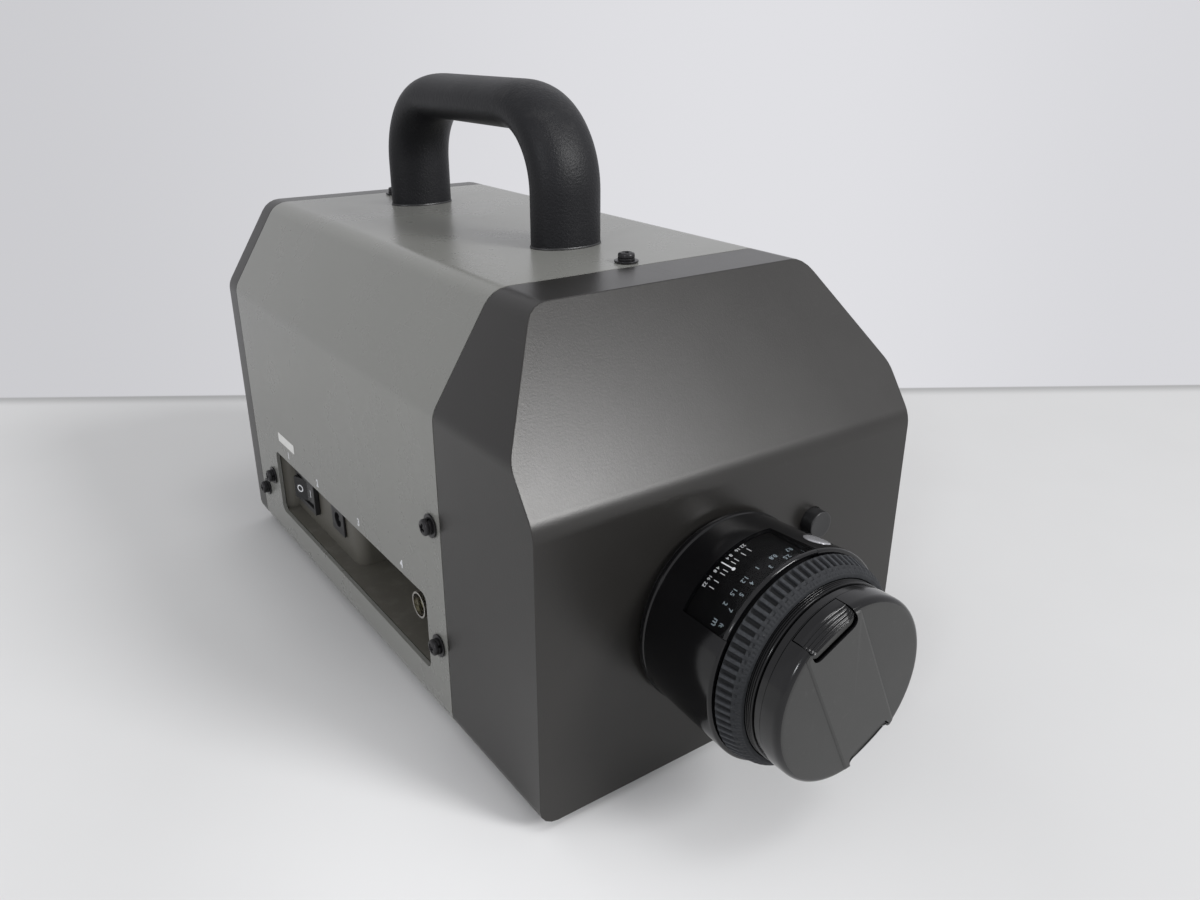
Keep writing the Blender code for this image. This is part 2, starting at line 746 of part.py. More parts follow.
def body_cover():
    cover = slab([section(0), section(COVER_WALL)], "Y", BEZEL_DEPTH + GAP, SEAM_REAR)
    half = RIGHT - RETURN_FLANGE
    slot = block(
        (-half, BEZEL_DEPTH - OVERRUN, UNDERSIDE - OVERRUN), (half, SEAM_REAR + OVERRUN, BASE_LOW)
    )
    opening = slab([recess_outline()], "X", LEFT - OVERRUN, LEFT + COVER_WALL + OVERRUN)
    cut(cover, slot, opening, *screw_holes([""]))
    for place in (HANDLE_FRONT, HANDLE_REAR):
        hole = rod((0, place, TOP - OVERRUN), (0, place, TOP + OVERRUN), BOLT_RADIUS + GAP, SCREW_STEPS)
        cut(cover, hole)
    piece(cover, "body_cover", "cover_grey")


def recess_outline():
    """Opening of the connector recess in Y and Z."""
    return rectangle(RECESS_FRONT, RECESS_LOW, RECESS_REAR, RECESS_HIGH, RECESS_CORNER)


def front_bezel():
    bezel = slab([section(0)], "Y", -OVERRUN, BEZEL_DEPTH)
    outline = front_profile(0, BEZEL_DEPTH + OVERRUN, OVERRUN)
    meet(bezel, slab([outline], "X", LEFT - OVERRUN, RIGHT + OVERRUN))
    round_rim(bezel)
    tongue = slab([section(COVER_WALL + GAP)], "Y", BEZEL_DEPTH - OVERRUN, TONGUE_END)
    hollow = slab([section(SHELL_WALL)], "Y", -OVERRUN, TONGUE_END + OVERRUN)
    room = front_profile(SHELL_WALL, TONGUE_END + SHELL_WALL + OVERRUN, SHELL_WALL + OVERRUN)
    meet(hollow, slab([room], "X", LEFT, RIGHT))
    lens_hole = rod(
        lens_point(OVERRUN), lens_point(-SHELL_WALL - OVERRUN), MOUNT_SLEEVE_RADIUS + GAP, LENS_STEPS
    )
    join(bezel, tongue)
    cut(bezel, hollow, lens_hole, *screw_holes(["top_front", "upper", "lower"]))
    join(bezel, stirrup())
    button = (BUTTON_ACROSS, BUTTON_HEIGHT)
    button_hole = rod(
        (button[0], -OVERRUN, button[1]),
        (button[0], SHELL_WALL + OVERRUN / 2, button[1]),
        BUTTON_RADIUS + GAP,
        ROUND_STEPS,
    )
    cut(bezel, button_hole)
    piece(bezel, "front_bezel", "bezel_bronze")


def stirrup():
    """Bracket behind the front wall that the spring of the release button bears on."""
    half = BUTTON_COLLAR_RADIUS + GAP * 2
    outer = half + STIRRUP_WALL
    depth = SHELL_WALL + STIRRUP_DEPTH
    low = BUTTON_HEIGHT - BUTTON_COLLAR_RADIUS
    high = BUTTON_HEIGHT + BUTTON_COLLAR_RADIUS
    frame = block(
        (BUTTON_ACROSS - outer, SHELL_WALL / 2, low), (BUTTON_ACROSS + outer, depth + STIRRUP_WALL, high)
    )
    inside = block(
        (BUTTON_ACROSS - half, SHELL_WALL - OVERRUN, low - OVERRUN),
        (BUTTON_ACROSS + half, depth, high + OVERRUN),
    )
    cut(frame, inside)
    return applied(frame)


def rear_cap():
    cap = slab([section(0)], "Y", SEAM_REAR + GAP, BODY_LENGTH)
    round_rim(cap)
    collar = slab([section(COVER_WALL + GAP)], "Y", COLLAR_START, SEAM_REAR + REAR_BAND / 2)
    hollow = slab([section(SHELL_WALL)], "Y", COLLAR_START - OVERRUN, BODY_LENGTH - REAR_WALL)
    eyepiece = rod(
        (LENS_ACROSS, BODY_LENGTH - REAR_WALL - OVERRUN, FINDER_HEIGHT),
        (LENS_ACROSS, BODY_LENGTH + OVERRUN, FINDER_HEIGHT),
        FINDER_OUTER + GAP,
        ROUND_STEPS,
    )
    join(cap, collar)
    cut(cap, hollow, eyepiece, *screw_holes(["_rear"]))
    piece(cap, "rear_cap", "bezel_bronze")


def base_plate():
    half = RIGHT - SHELL_WALL - GAP - BOTTOM_RADIUS
    front = SHELL_WALL + GAP
    rear = BODY_LENGTH - REAR_WALL - GAP
    plate = block((-half, front, BASE_LOW), (half, rear, BASE_HIGH))
    pad_half = RIGHT - RETURN_FLANGE - GAP
    pad = block(
        (-pad_half, TONGUE_END + GAP, UNDERSIDE),
        (pad_half, COLLAR_START - GAP, BASE_LOW + BASE_THICKNESS / 2),
    )
    join(plate, pad)
    over = BASE_HIGH + OVERRUN
    through = rod((0, BUSH_PLACE, 0), (0, BUSH_PLACE, over), BUSH_BORE + BUSH_WALL + GAP, ROUND_STEPS)
    ledge = BASE_HIGH - BUSH_RIM_THICKNESS - GAP
    rim = BUSH_BORE + BUSH_WALL + BUSH_RIM + GAP
    cut(plate, through, rod((0, BUSH_PLACE, ledge), (0, BUSH_PLACE, over), rim, ROUND_STEPS))
    piece(plate, "base_plate", "cast_metal")


def tripod_bush():
    outer = BUSH_BORE + BUSH_WALL
    shoulder = BASE_HIGH - BUSH_RIM_THICKNESS
    profile = [
        (BUSH_BORE, BASE_HIGH), (outer + BUSH_RIM, BASE_HIGH), (outer + BUSH_RIM, shoulder),
        (outer, shoulder), (outer, UNDERSIDE), (BUSH_BORE, UNDERSIDE),
    ]
    bush = turned(profile, (0, BUSH_PLACE, 0), (0, 0, 1), ROUND_STEPS)
    piece(bush, "tripod_bush", "bright_metal")


def feet():
    across = RIGHT - FOOT_SIDE_INSET
    for row, place in (("front", FOOT_FRONT_INSET), ("rear", BODY_LENGTH - FOOT_REAR_INSET)):
        for side, sign in (("left", -1), ("right", 1)):
            low = (sign * across, place, 0)
            high = (sign * across, place, UNDERSIDE - GAP)
            piece(rod(low, high, FOOT_RADIUS, ROUND_STEPS), f"foot_{row}_{side}", "rubber")


def cover_screws():
    washer = GAP + WASHER_THICKNESS
    spring = washer + SPRING_WASHER_THICKNESS
    head = spring + HEAD_HEIGHT
    profile = [
        (0, head), (HEAD_RADIUS - HEAD_DOME, head), (HEAD_RADIUS, head - HEAD_DOME), (HEAD_RADIUS, spring),
        (SPRING_WASHER_RADIUS, spring), (SPRING_WASHER_RADIUS, washer), (WASHER_RADIUS, washer),
        (WASHER_RADIUS, GAP), (SHANK_RADIUS, GAP), (SHANK_RADIUS, -SHANK_LENGTH), (0, -SHANK_LENGTH),
    ]
    for name, place, outward in screw_places():
        piece(turned(profile, place, outward, SCREW_STEPS), name, "black_steel")


def handle_path():
    """Centre line of the handle in Y and Z."""
    foot = TOP + GAP
    crest = TOP + HANDLE_RISE
    turns = ARC_STEPS * 2
    path = [(HANDLE_FRONT, foot)]
    for k in range(turns + 1):
        angle = pi / 2 * k / turns
        path.append((HANDLE_FRONT + HANDLE_BEND * (1 - cos(angle)), crest - HANDLE_BEND * (1 - sin(angle))))
    for k in range(turns + 1):
        angle = pi / 2 * k / turns
        path.append((HANDLE_REAR - HANDLE_BEND * (1 - sin(angle)), crest - HANDLE_BEND * (1 - cos(angle))))
    path.append((HANDLE_REAR, foot))
    return path


def carry_handle():
    bar = tube([(0, y, z) for y, z in handle_path()], HANDLE_DEPTH / 2, 4)
    widen = Matrix.Diagonal((HANDLE_WIDTH / HANDLE_DEPTH, 1, 1, 1))
    bar.data.transform(widen)
    for place in (HANDLE_FRONT, HANDLE_REAR):
        hole = rod((0, place, TOP - OVERRUN), (0, place, TOP + BOLT_LENGTH), BOLT_RADIUS + GAP, SCREW_STEPS)
        cut(bar, hole)
    piece(bar, "carry_handle", "grip_black")


def handle_bolts():
    under = TOP - COVER_WALL - GAP
    head = under - BOLT_HEAD_HEIGHT
    tip = head + BOLT_LENGTH
    profile = [
        (0, tip), (BOLT_RADIUS, tip), (BOLT_RADIUS, under), (BOLT_HEAD_RADIUS, under),
        (BOLT_HEAD_RADIUS, head), (0, head),
    ]
    for name, place in (("front", HANDLE_FRONT), ("rear", HANDLE_REAR)):
        piece(turned(profile, (0, place, 0), (0, 0, 1), SCREW_STEPS), f"handle_bolt_{name}", "black_steel")


def connector_panel():
    back = LEFT + COVER_WALL + GAP
    front = RECESS_FRONT - PANEL_WALL
    low = RECESS_LOW - PANEL_WALL
    high = RECESS_HIGH + PANEL_WALL
    flange = [front, RECESS_LOW - PANEL_LIP, COLLAR_START - PANEL_ROOM, RECESS_HIGH + PANEL_LIP]
    panel = slab([rectangle(*flange)], "X", back, back + PANEL_FLANGE)
    shallow = block((back, front, low), (SHALLOW_FLOOR + PANEL_WALL, RECESS_REAR + PANEL_WALL, high))
    deep = block((back, front, low), (DEEP_FLOOR + PANEL_WALL, RECESS_STEP + PANEL_WALL, high))
    join(panel, shallow, deep)
    mouth = LEFT - OVERRUN
    corners = [
        (SHALLOW_FLOOR, RECESS_REAR, GAP),
        (SHALLOW_FLOOR, RECESS_STEP, RECESS_STEP_ROUND),
        (DEEP_FLOOR, RECESS_STEP, GAP),
    ]
    bend = rounded(corners)[ARC_STEPS + 1 : 2 * ARC_STEPS + 2]
    plan = [(mouth, RECESS_FRONT), (DEEP_FLOOR, RECESS_FRONT), (DEEP_FLOOR, RECESS_STEP)]
    plan += list(reversed(bend)) + [(SHALLOW_FLOOR, RECESS_REAR), (mouth, RECESS_REAR)]
    cut(panel, slab([plan], "Z", RECESS_LOW, RECESS_HIGH))
    cut(panel, switch_body(GAP), inlet_body(GAP), serial_body(GAP))
    jack_hole = rod(
        (DEEP_FLOOR - PANEL_WALL, JACK_PLACE, PORT_HEIGHT),
        (DEEP_FLOOR + PANEL_WALL + OVERRUN, JACK_PLACE, PORT_HEIGHT),
        JACK_TAIL_RADIUS + GAP,
        ROUND_STEPS,
    )
    cut(panel, jack_hole, *screw_holes(["panel"]))
    piece(panel, "connector_panel", "panel_grey")


def port_block(place, half_y, half_z, x0, x1):
    return block((x0, place - half_y, PORT_HEIGHT - half_z), (x1, place + half_y, PORT_HEIGHT + half_z))


def switch_body(grow):
    """The part of the switch that passes through the panel, or with a gap its hole."""
    half_y = SWITCH_LENGTH / 2 - SWITCH_SHOULDER + grow
    half_z = SWITCH_WIDTH / 2 - SWITCH_SHOULDER + grow
    front = SHALLOW_FLOOR - GAP - grow - SWITCH_BEZEL / 4
    return port_block(SWITCH_PLACE, half_y, half_z, front, SHALLOW_FLOOR + SWITCH_BODY_DEPTH + grow)


def inlet_body(grow):
    half_y = INLET_WIDTH / 2 - INLET_SHOULDER + grow
    half_z = INLET_HEIGHT / 2 - INLET_SHOULDER + grow
    front = SHALLOW_FLOOR - GAP - grow - INLET_LIP / 4
    return port_block(INLET_PLACE, half_y, half_z, front, SHALLOW_FLOOR + INLET_DEPTH + grow)


def serial_body(grow):
    half_y = SERIAL_SHELL_LENGTH / 2 + grow
    half_z = SERIAL_SHELL_HEIGHT / 2 + grow
    front = DEEP_FLOOR - GAP - grow - SERIAL_FLANGE_THICKNESS / 4
    return port_block(SERIAL_PLACE, half_y, half_z, front, DEEP_FLOOR + SERIAL_BODY_DEPTH + grow)


def rocker_pivot():
    return Vector((SHALLOW_FLOOR - GAP, SWITCH_PLACE, PORT_HEIGHT))


def power_switch():
    face = SHALLOW_FLOOR - GAP
    pivot = rocker_pivot()
    housing = port_block(SWITCH_PLACE, SWITCH_LENGTH / 2, SWITCH_WIDTH / 2, face - SWITCH_BEZEL, face)
    join(housing, switch_body(0))
    reach = hypot(ROCKER_LENGTH / 2, ROCKER_RISE)
    half_z = ROCKER_WIDTH / 2 + GAP
    floor = face + ROCKER_BELLY + ROCKER_RISE
    well = port_block(SWITCH_PLACE, reach + GAP, half_z, face - SWITCH_BEZEL - OVERRUN, floor)
    pin = Vector((0, 0, ROCKER_WIDTH / 2 + ROCKER_PIN_REACH))
    play = Vector((0, 0, GAP))
    sockets = rod(pivot - pin - play, pivot + pin + play, ROCKER_PIN_RADIUS + GAP, PIN_STEPS)
    cut(housing, well, sockets)
    piece(housing, "switch_housing", "black_plastic")

    half = ROCKER_LENGTH / 2
    belly = half * ROCKER_BELLY_SHARE
    outline = [
        (-ROCKER_RISE, half), (-ROCKER_DIP, 0), (-ROCKER_RISE, -half), (ROCKER_DIP, GAP - half),
        (ROCKER_BELLY, -belly), (ROCKER_BELLY, belly), (ROCKER_DIP, half - GAP),
    ]
    key = slab([outline], "Z", -ROCKER_WIDTH / 2, ROCKER_WIDTH / 2)
    key.data.transform(Matrix.Rotation(radians(ROCKER_TILT_DEG), 4, "Z"))
    key.data.transform(Matrix.Translation(pivot))
    join(key, rod(pivot - pin, pivot + pin, ROCKER_PIN_RADIUS, PIN_STEPS))
    piece(key, "switch_rocker", "black_plastic", pivot)


def power_inlet():
    face = SHALLOW_FLOOR - GAP
    inlet = port_block(INLET_PLACE, INLET_WIDTH / 2, INLET_HEIGHT / 2, face - INLET_LIP, face)
    join(inlet, inlet_body(0))
    mouth = face - INLET_LIP
    floor = mouth + INLET_BORE_DEPTH
    place = (INLET_PLACE, PORT_HEIGHT)
    cut(inlet, rod((mouth - OVERRUN, *place), (floor, *place), INLET_BORE, ROUND_STEPS))
    join(inlet, rod((mouth + INLET_LIP, *place), (floor + INLET_LIP, *place), INLET_PIN, PIN_STEPS))
    piece(inlet, "power_inlet", "black_plastic")


def serial_outline(grow):
    """The D shape of the serial socket in Y and Z, wider at the top."""
    half = SERIAL_SHELL_LENGTH / 2 + grow
    up = SERIAL_SHELL_HEIGHT / 2 + grow
    lean = SERIAL_SHELL_HEIGHT * tan(radians(SERIAL_SHELL_TAPER_DEG))
    return [
        (SERIAL_PLACE - half + lean, PORT_HEIGHT - up), (SERIAL_PLACE + half - lean, PORT_HEIGHT - up),
        (SERIAL_PLACE + half, PORT_HEIGHT + up), (SERIAL_PLACE - half, PORT_HEIGHT + up),
    ]


def serial_socket():
    back = DEEP_FLOOR - GAP
    face = back - SERIAL_FLANGE_THICKNESS
    shell = port_block(SERIAL_PLACE, SERIAL_FLANGE_LENGTH / 2, SERIAL_FLANGE_HEIGHT / 2, face, back)
    mouth = face - SERIAL_SHELL_REACH
    join(shell, slab([serial_outline(0)], "X", mouth, back - SERIAL_FLANGE_THICKNESS / 2))
    for sign in (-1, 1):
        spot = (SERIAL_PLACE + sign * SERIAL_POST_PITCH / 2, PORT_HEIGHT)
        root = back - SERIAL_FLANGE_THICKNESS / 2
        join(shell, rod((face - SERIAL_POST_REACH, *spot), (root, *spot), SERIAL_POST_RADIUS, 6))
    cut(shell, slab([serial_outline(-SERIAL_SHELL_WALL)], "X", mouth - OVERRUN, back + OVERRUN))
    piece(shell, "serial_shell", "bright_metal")

    seat = back + GAP
    insert = slab([serial_outline(-SERIAL_SHELL_WALL - GAP)], "X", face, DEEP_FLOOR + SERIAL_BODY_DEPTH)
    rows = ((5, SERIAL_ROW_PITCH / 2), (4, -SERIAL_ROW_PITCH / 2))
    for count, rise in rows:
        for k in range(count):
            y = SERIAL_PLACE + (k - (count - 1) / 2) * SERIAL_PIN_PITCH
            z = PORT_HEIGHT + rise
            join(insert, rod((face - SERIAL_PIN_LENGTH, y, z), (seat, y, z), SERIAL_PIN_RADIUS, 6))
    piece(insert, "serial_insert", "black_plastic")


def sync_jack():
    back = DEEP_FLOOR - GAP
    front = JACK_BARREL_LENGTH
    base = (back, JACK_PLACE, PORT_HEIGHT)
    floor = front - JACK_BORE_DEPTH
    nut = JACK_BARREL_RADIUS + JACK_NUT_RIM
    profile = [
        (JACK_BORE_RADIUS, front), (JACK_BARREL_RADIUS, front), (JACK_BARREL_RADIUS, JACK_NUT_THICKNESS),
        (nut, JACK_NUT_THICKNESS), (nut, 0), (JACK_TAIL_RADIUS, 0),
        (JACK_TAIL_RADIUS, -JACK_TAIL_LENGTH), (JACK_CORE_RADIUS + GAP, -JACK_TAIL_LENGTH),
        (JACK_CORE_RADIUS + GAP, floor), (JACK_BORE_RADIUS, floor),
    ]
    shell = turned(profile, base, (-1, 0, 0), ROUND_STEPS)
    lug_x = back - front + JACK_LUG_INSET
    lug_reach = JACK_BARREL_RADIUS + JACK_LUG_REACH
    wall = (JACK_BARREL_RADIUS + JACK_BORE_RADIUS) / 2
    for sign in (-1, 1):
        inner = (lug_x, JACK_PLACE, PORT_HEIGHT + sign * wall)
        outer = (lug_x, JACK_PLACE, PORT_HEIGHT + sign * lug_reach)
        join(shell, rod(inner, outer, JACK_LUG_RADIUS, 8))
    piece(shell, "sync_jack_shell", "bright_metal")

    mouth = floor + JACK_CORE_LENGTH
    core = [
        (0, floor), (JACK_CONTACT_RADIUS, floor), (JACK_CONTACT_RADIUS, mouth), (JACK_CORE_RADIUS, mouth),
        (JACK_CORE_RADIUS, -JACK_TAIL_LENGTH), (0, -JACK_TAIL_LENGTH),
    ]
    piece(turned(core, base, (-1, 0, 0), ROUND_STEPS), "sync_jack_core", "white_plastic")


def lens_point(front, out=0.0, up=0.0):
    """A place a distance in front of the front face, measured from the lens axis."""
    return Vector((LENS_ACROSS + out, -front, LENS_HEIGHT + up))


def lens_turned(profile):
    return turned(profile, lens_point(0), (0, -1, 0), LENS_STEPS)


def lens_mount():
    rim = MOUNT_SLEEVE_RADIUS + MOUNT_RIM
    profile = [
        (MOUNT_BORE, MOUNT_STAND), (rim, MOUNT_STAND), (rim, GAP), (MOUNT_SLEEVE_RADIUS, GAP),
        (MOUNT_SLEEVE_RADIUS, -MOUNT_SLEEVE_DEPTH), (MOUNT_BORE, -MOUNT_SLEEVE_DEPTH),
    ]
    piece(lens_turned(profile), "lens_mount", "bright_metal")


def barrel_radius(front):
    """Outer radius of the lens barrel at a distance in front of the front face."""
    share = (front - MOUNT_STAND) / (BARREL_FRONT - MOUNT_STAND)
    return BARREL_REAR_RADIUS + BARREL_FLARE * share


def window_sector(inner, rear, front, margin=0.0):
    """The sector of a ring that the scale window fills, drawn in by a margin at its sides."""
    outer = BARREL_FRONT_RADIUS + OVERRUN
    steps = 2 * ARC_STEPS
    start = radians(WINDOW_START_DEG) + margin / BARREL_REAR_RADIUS
    sweep = radians(WINDOW_END_DEG) - margin / BARREL_REAR_RADIUS - start
    angles = [start + sweep * k / steps for k in range(steps + 1)]
    outline = [(LENS_ACROSS + outer * cos(a), LENS_HEIGHT + outer * sin(a)) for a in angles]
    outline += [(LENS_ACROSS + inner * cos(a), LENS_HEIGHT + inner * sin(a)) for a in reversed(angles)]
    return slab([outline], "Y", -front, -rear)


def lens_barrel():
    rear = MOUNT_STAND + GAP
    tail = MOUNT_BORE - GAP
    throat = tail - TAIL_WALL
    bore = FRONT_BARREL_RADIUS + GAP
    seat = DRUM_RADIUS + GAP
    step = DRUM_REAR - GAP
    back = FRONT_BARREL_REAR - FRONT_BARREL_BACK - GAP
    edge = BARREL_EDGE
    profile = [
        (seat, BARREL_FRONT), (BARREL_FRONT_RADIUS - edge / 2, BARREL_FRONT),
        (barrel_radius(BARREL_FRONT - edge), BARREL_FRONT - edge),
        (barrel_radius(rear + edge), rear + edge), (BARREL_REAR_RADIUS - edge, rear), (tail, rear),
        (tail, -TAIL_DEPTH), (throat, -TAIL_DEPTH), (throat, back), (bore, back), (bore, step), (seat, step),
    ]
    barrel = lens_turned(profile)
    cut(barrel, window_sector(DRUM_RADIUS - GAP, WINDOW_REAR, BARREL_FRONT + OVERRUN))
    piece(barrel, "lens_barrel", "lens_black", lens_point(0))


def scale_window():
    rear = WINDOW_REAR + GAP
    front = BARREL_FRONT
    profile = [
        (barrel_radius(front) - WINDOW_THICKNESS, front), (barrel_radius(front), front),
        (barrel_radius(rear), rear), (barrel_radius(rear) - WINDOW_THICKNESS, rear),
    ]
    window = lens_turned(profile)
    meet(window, window_sector(DRUM_RADIUS / 2, rear - OVERRUN, front + OVERRUN, GAP))
    piece(window, "scale_window", "glass", lens_point(0))


def scale_drum():
    inner = DRUM_RADIUS - DRUM_WALL
    front = RING_REAR - GAP
    profile = [(inner, front), (DRUM_RADIUS, front), (DRUM_RADIUS, DRUM_REAR), (inner, DRUM_REAR)]
    piece(lens_turned(profile), "scale_drum", "scale_black", lens_point(0))


def focus_ring():
    bore = FRONT_BARREL_RADIUS + GAP
    profile = [
        (bore, RING_FRONT), (FRONT_BARREL_RADIUS + RING_FRONT_WALL, RING_FRONT),
        (FRONT_BARREL_RADIUS + RING_REAR_WALL, RING_REAR), (bore, RING_REAR),
    ]
    piece(lens_turned(profile), "focus_ring", "rubber", lens_point(0))


def front_barrel():
    front = FRONT_BARREL_FRONT
    rear = FRONT_BARREL_REAR
    cell_front = front - FILTER_DEPTH
    cell_rear = cell_front - FRONT_CELL_LENGTH
    front_seat = FRONT_GLASS_RADIUS + GAP
    rear_seat = REAR_GLASS_RADIUS + GAP
    profile = [
        (FRONT_BORE, front), (FRONT_BARREL_RADIUS, front), (FRONT_BARREL_RADIUS, rear), (rear_seat, rear),
        (rear_seat, rear + REAR_CELL_LENGTH), (FRONT_BORE, rear + REAR_CELL_LENGTH),
        (FRONT_BORE, cell_rear), (front_seat, cell_rear), (front_seat, cell_front), (FRONT_BORE, cell_front),
    ]
    piece(lens_turned(profile), "front_barrel", "lens_black", lens_point(0))


def lens_shape(radius, thickness, bulge, base, along):
    """A biconvex glass element centred on the base point."""
    rings = ARC_STEPS - 1
    half = thickness / 2
    upper = [(radius * k / rings, half - bulge * (k / rings) ** 2) for k in range(rings + 1)]
    lower = [(r, -far) for r, far in reversed(upper)]
    return turned(upper + lower, base, along, ROUND_STEPS)


def glass_elements():
    along = (0, -1, 0)
    front = lens_point(FRONT_BARREL_FRONT - FILTER_DEPTH - FRONT_CELL_LENGTH / 2)
    glass = lens_shape(FRONT_GLASS_RADIUS, FRONT_GLASS_THICKNESS, FRONT_GLASS_BULGE, front, along)
    piece(glass, "front_element", "glass", front)
    rear = lens_point(FRONT_BARREL_REAR + REAR_CELL_LENGTH / 2)
    glass = lens_shape(REAR_GLASS_RADIUS, REAR_GLASS_THICKNESS, REAR_GLASS_BULGE, rear, along)
    piece(glass, "rear_element", "glass", rear)


def on_cap(obj):
    """Turns a shape built up the Z axis at the origin to the cap's tab direction on the lens."""
    turn = Matrix.Rotation(radians(90 - CAP_TAB_DEG), 4, "Y")
    obj.data.transform(Matrix.Translation(lens_point(0)) @ turn)
    return obj


def cap_block(sign, half_width, inner, outer, rear, front):
    """A block on the cap between two distances from its centre, on the side of one of its tabs."""
    low, high = sorted((sign * inner, sign * outer))
    return on_cap(block((-half_width, -front, low), (half_width, -rear, high)))


def lens_cap():
    skirt = CAP_RADIUS - CAP_SKIRT_INSET
    inner = CAP_PLUG_RADIUS - CAP_PLUG_WALL
    profile = [
        (0, CAP_FRONT), (CAP_RADIUS - CAP_EDGE, CAP_FRONT), (CAP_RADIUS, CAP_FRONT - CAP_EDGE),
        (CAP_RADIUS, CAP_STEP), (skirt, CAP_STEP), (skirt, CAP_REAR), (CAP_PLUG_RADIUS, CAP_REAR),
        (CAP_PLUG_RADIUS, CAP_PLUG_REAR), (inner, CAP_PLUG_REAR), (inner, CAP_INSIDE), (0, CAP_INSIDE),
    ]
    cap = lens_turned(profile)
    tab_rear = CAP_FRONT - CAP_TAB_DEPTH - GAP
    tab_inner = CAP_TAB_INNER - CAP_TAB_TRAVEL - GAP
    post_end = CAP_INSIDE - CAP_STEM_THICKNESS - 2 * GAP
    for sign in (1, -1):
        slot = cap_block(
            sign, CAP_TAB_WIDTH / 2 + GAP, tab_inner, CAP_RADIUS + OVERRUN, tab_rear, CAP_FRONT + OVERRUN
        )
        hook_slot = cap_block(
            sign, CAP_HOOK_WIDTH / 2 + GAP, tab_inner, FRONT_BORE, CAP_PLUG_REAR - OVERRUN, tab_rear + GAP
        )
        cut(cap, slot, hook_slot)
        root = Vector((0, -CAP_INSIDE - CAP_DISC / 2, sign * CAP_POST_PLACE))
        tip = Vector((0, -post_end, sign * CAP_POST_PLACE))
        join(cap, on_cap(rod(root, tip, CAP_POST_RADIUS, PIN_STEPS)))
    piece(cap, "lens_cap", "cap_black", lens_point(CAP_REAR))


def cap_tabs():
    front = CAP_FRONT - GAP
    tab_rear = CAP_FRONT - CAP_TAB_DEPTH
    stem_front = CAP_INSIDE - GAP
    hook_outer = FRONT_BORE - 2 * GAP
    for label, sign in (("upper", 1), ("lower", -1)):
        tab = cap_block(sign, CAP_TAB_WIDTH / 2, CAP_TAB_INNER, CAP_RADIUS + OVERRUN, tab_rear, front)
        disc = [(0, front + OVERRUN), (CAP_RADIUS, front + OVERRUN), (CAP_RADIUS, CAP_REAR), (0, CAP_REAR)]
        meet(tab, lens_turned(disc))
        stem = cap_block(
            sign, CAP_STEM_WIDTH / 2, CAP_STEM_INNER, CAP_TAB_INNER + CAP_STEM_WIDTH / 2,
            stem_front - CAP_STEM_THICKNESS, stem_front,
        )
        hook = cap_block(
            sign, CAP_HOOK_WIDTH / 2, hook_outer - CAP_HOOK_THICKNESS, hook_outer,
            CAP_PLUG_REAR + GAP, tab_rear + CAP_TAB_DEPTH / 2,
        )
        join(tab, stem, hook)
        piece(tab, f"cap_tab_{label}", "cap_black", lens_point(CAP_FRONT))


def coil(radius, wire, turns, length):
    """Points of a spring along +Z from zero."""
    around = 10
    rise = (length - 2 * wire) / (turns * around)
    turn = 2 * pi / around
    return [
        (radius * cos(turn * k), radius * sin(turn * k), wire + rise * k) for k in range(turns * around + 1)
    ]


def cap_springs():
    middle = CAP_INSIDE - GAP - CAP_STEM_THICKNESS / 2
    start = CAP_POST_PLACE + CAP_POST_RADIUS + GAP
    points = coil(CAP_SPRING_RADIUS, CAP_SPRING_WIRE, CAP_SPRING_TURNS, CAP_SPRING_LENGTH)
    for label, side in (("upper", 0), ("lower", pi)):
        spring = tube(points, CAP_SPRING_WIRE, 0)
        spring.data.transform(Matrix.Rotation(side, 4, "Y") @ Matrix.Translation((0, -middle, start)))
        piece(on_cap(spring), f"cap_spring_{label}", "bright_metal")


def release_button():
    collar_front = -SHELL_WALL - GAP
    collar_rear = collar_front - BUTTON_COLLAR_THICKNESS
    profile = [
        (0, BUTTON_STAND), (BUTTON_RADIUS - BUTTON_EDGE, BUTTON_STAND),
        (BUTTON_RADIUS, BUTTON_STAND - BUTTON_EDGE), (BUTTON_RADIUS, collar_front),
        (BUTTON_COLLAR_RADIUS, collar_front), (BUTTON_COLLAR_RADIUS, collar_rear), (0, collar_rear),
    ]
    base = Vector((BUTTON_ACROSS, 0, BUTTON_HEIGHT))
    piece(turned(profile, base, (0, -1, 0), ROUND_STEPS), "release_button", "black_plastic", base)
    start = GAP - collar_rear
    length = SHELL_WALL + STIRRUP_DEPTH - GAP - start
    points = coil(BUTTON_SPRING_RADIUS, BUTTON_SPRING_WIRE, BUTTON_SPRING_TURNS, length)
    spring = tube(points, BUTTON_SPRING_WIRE, 0)
    spring.data.transform(Matrix.Rotation(-pi / 2, 4, "X"))
    spring.data.transform(Matrix.Translation(base + Vector((0, start, 0))))
    piece(spring, "release_spring", "bright_metal")


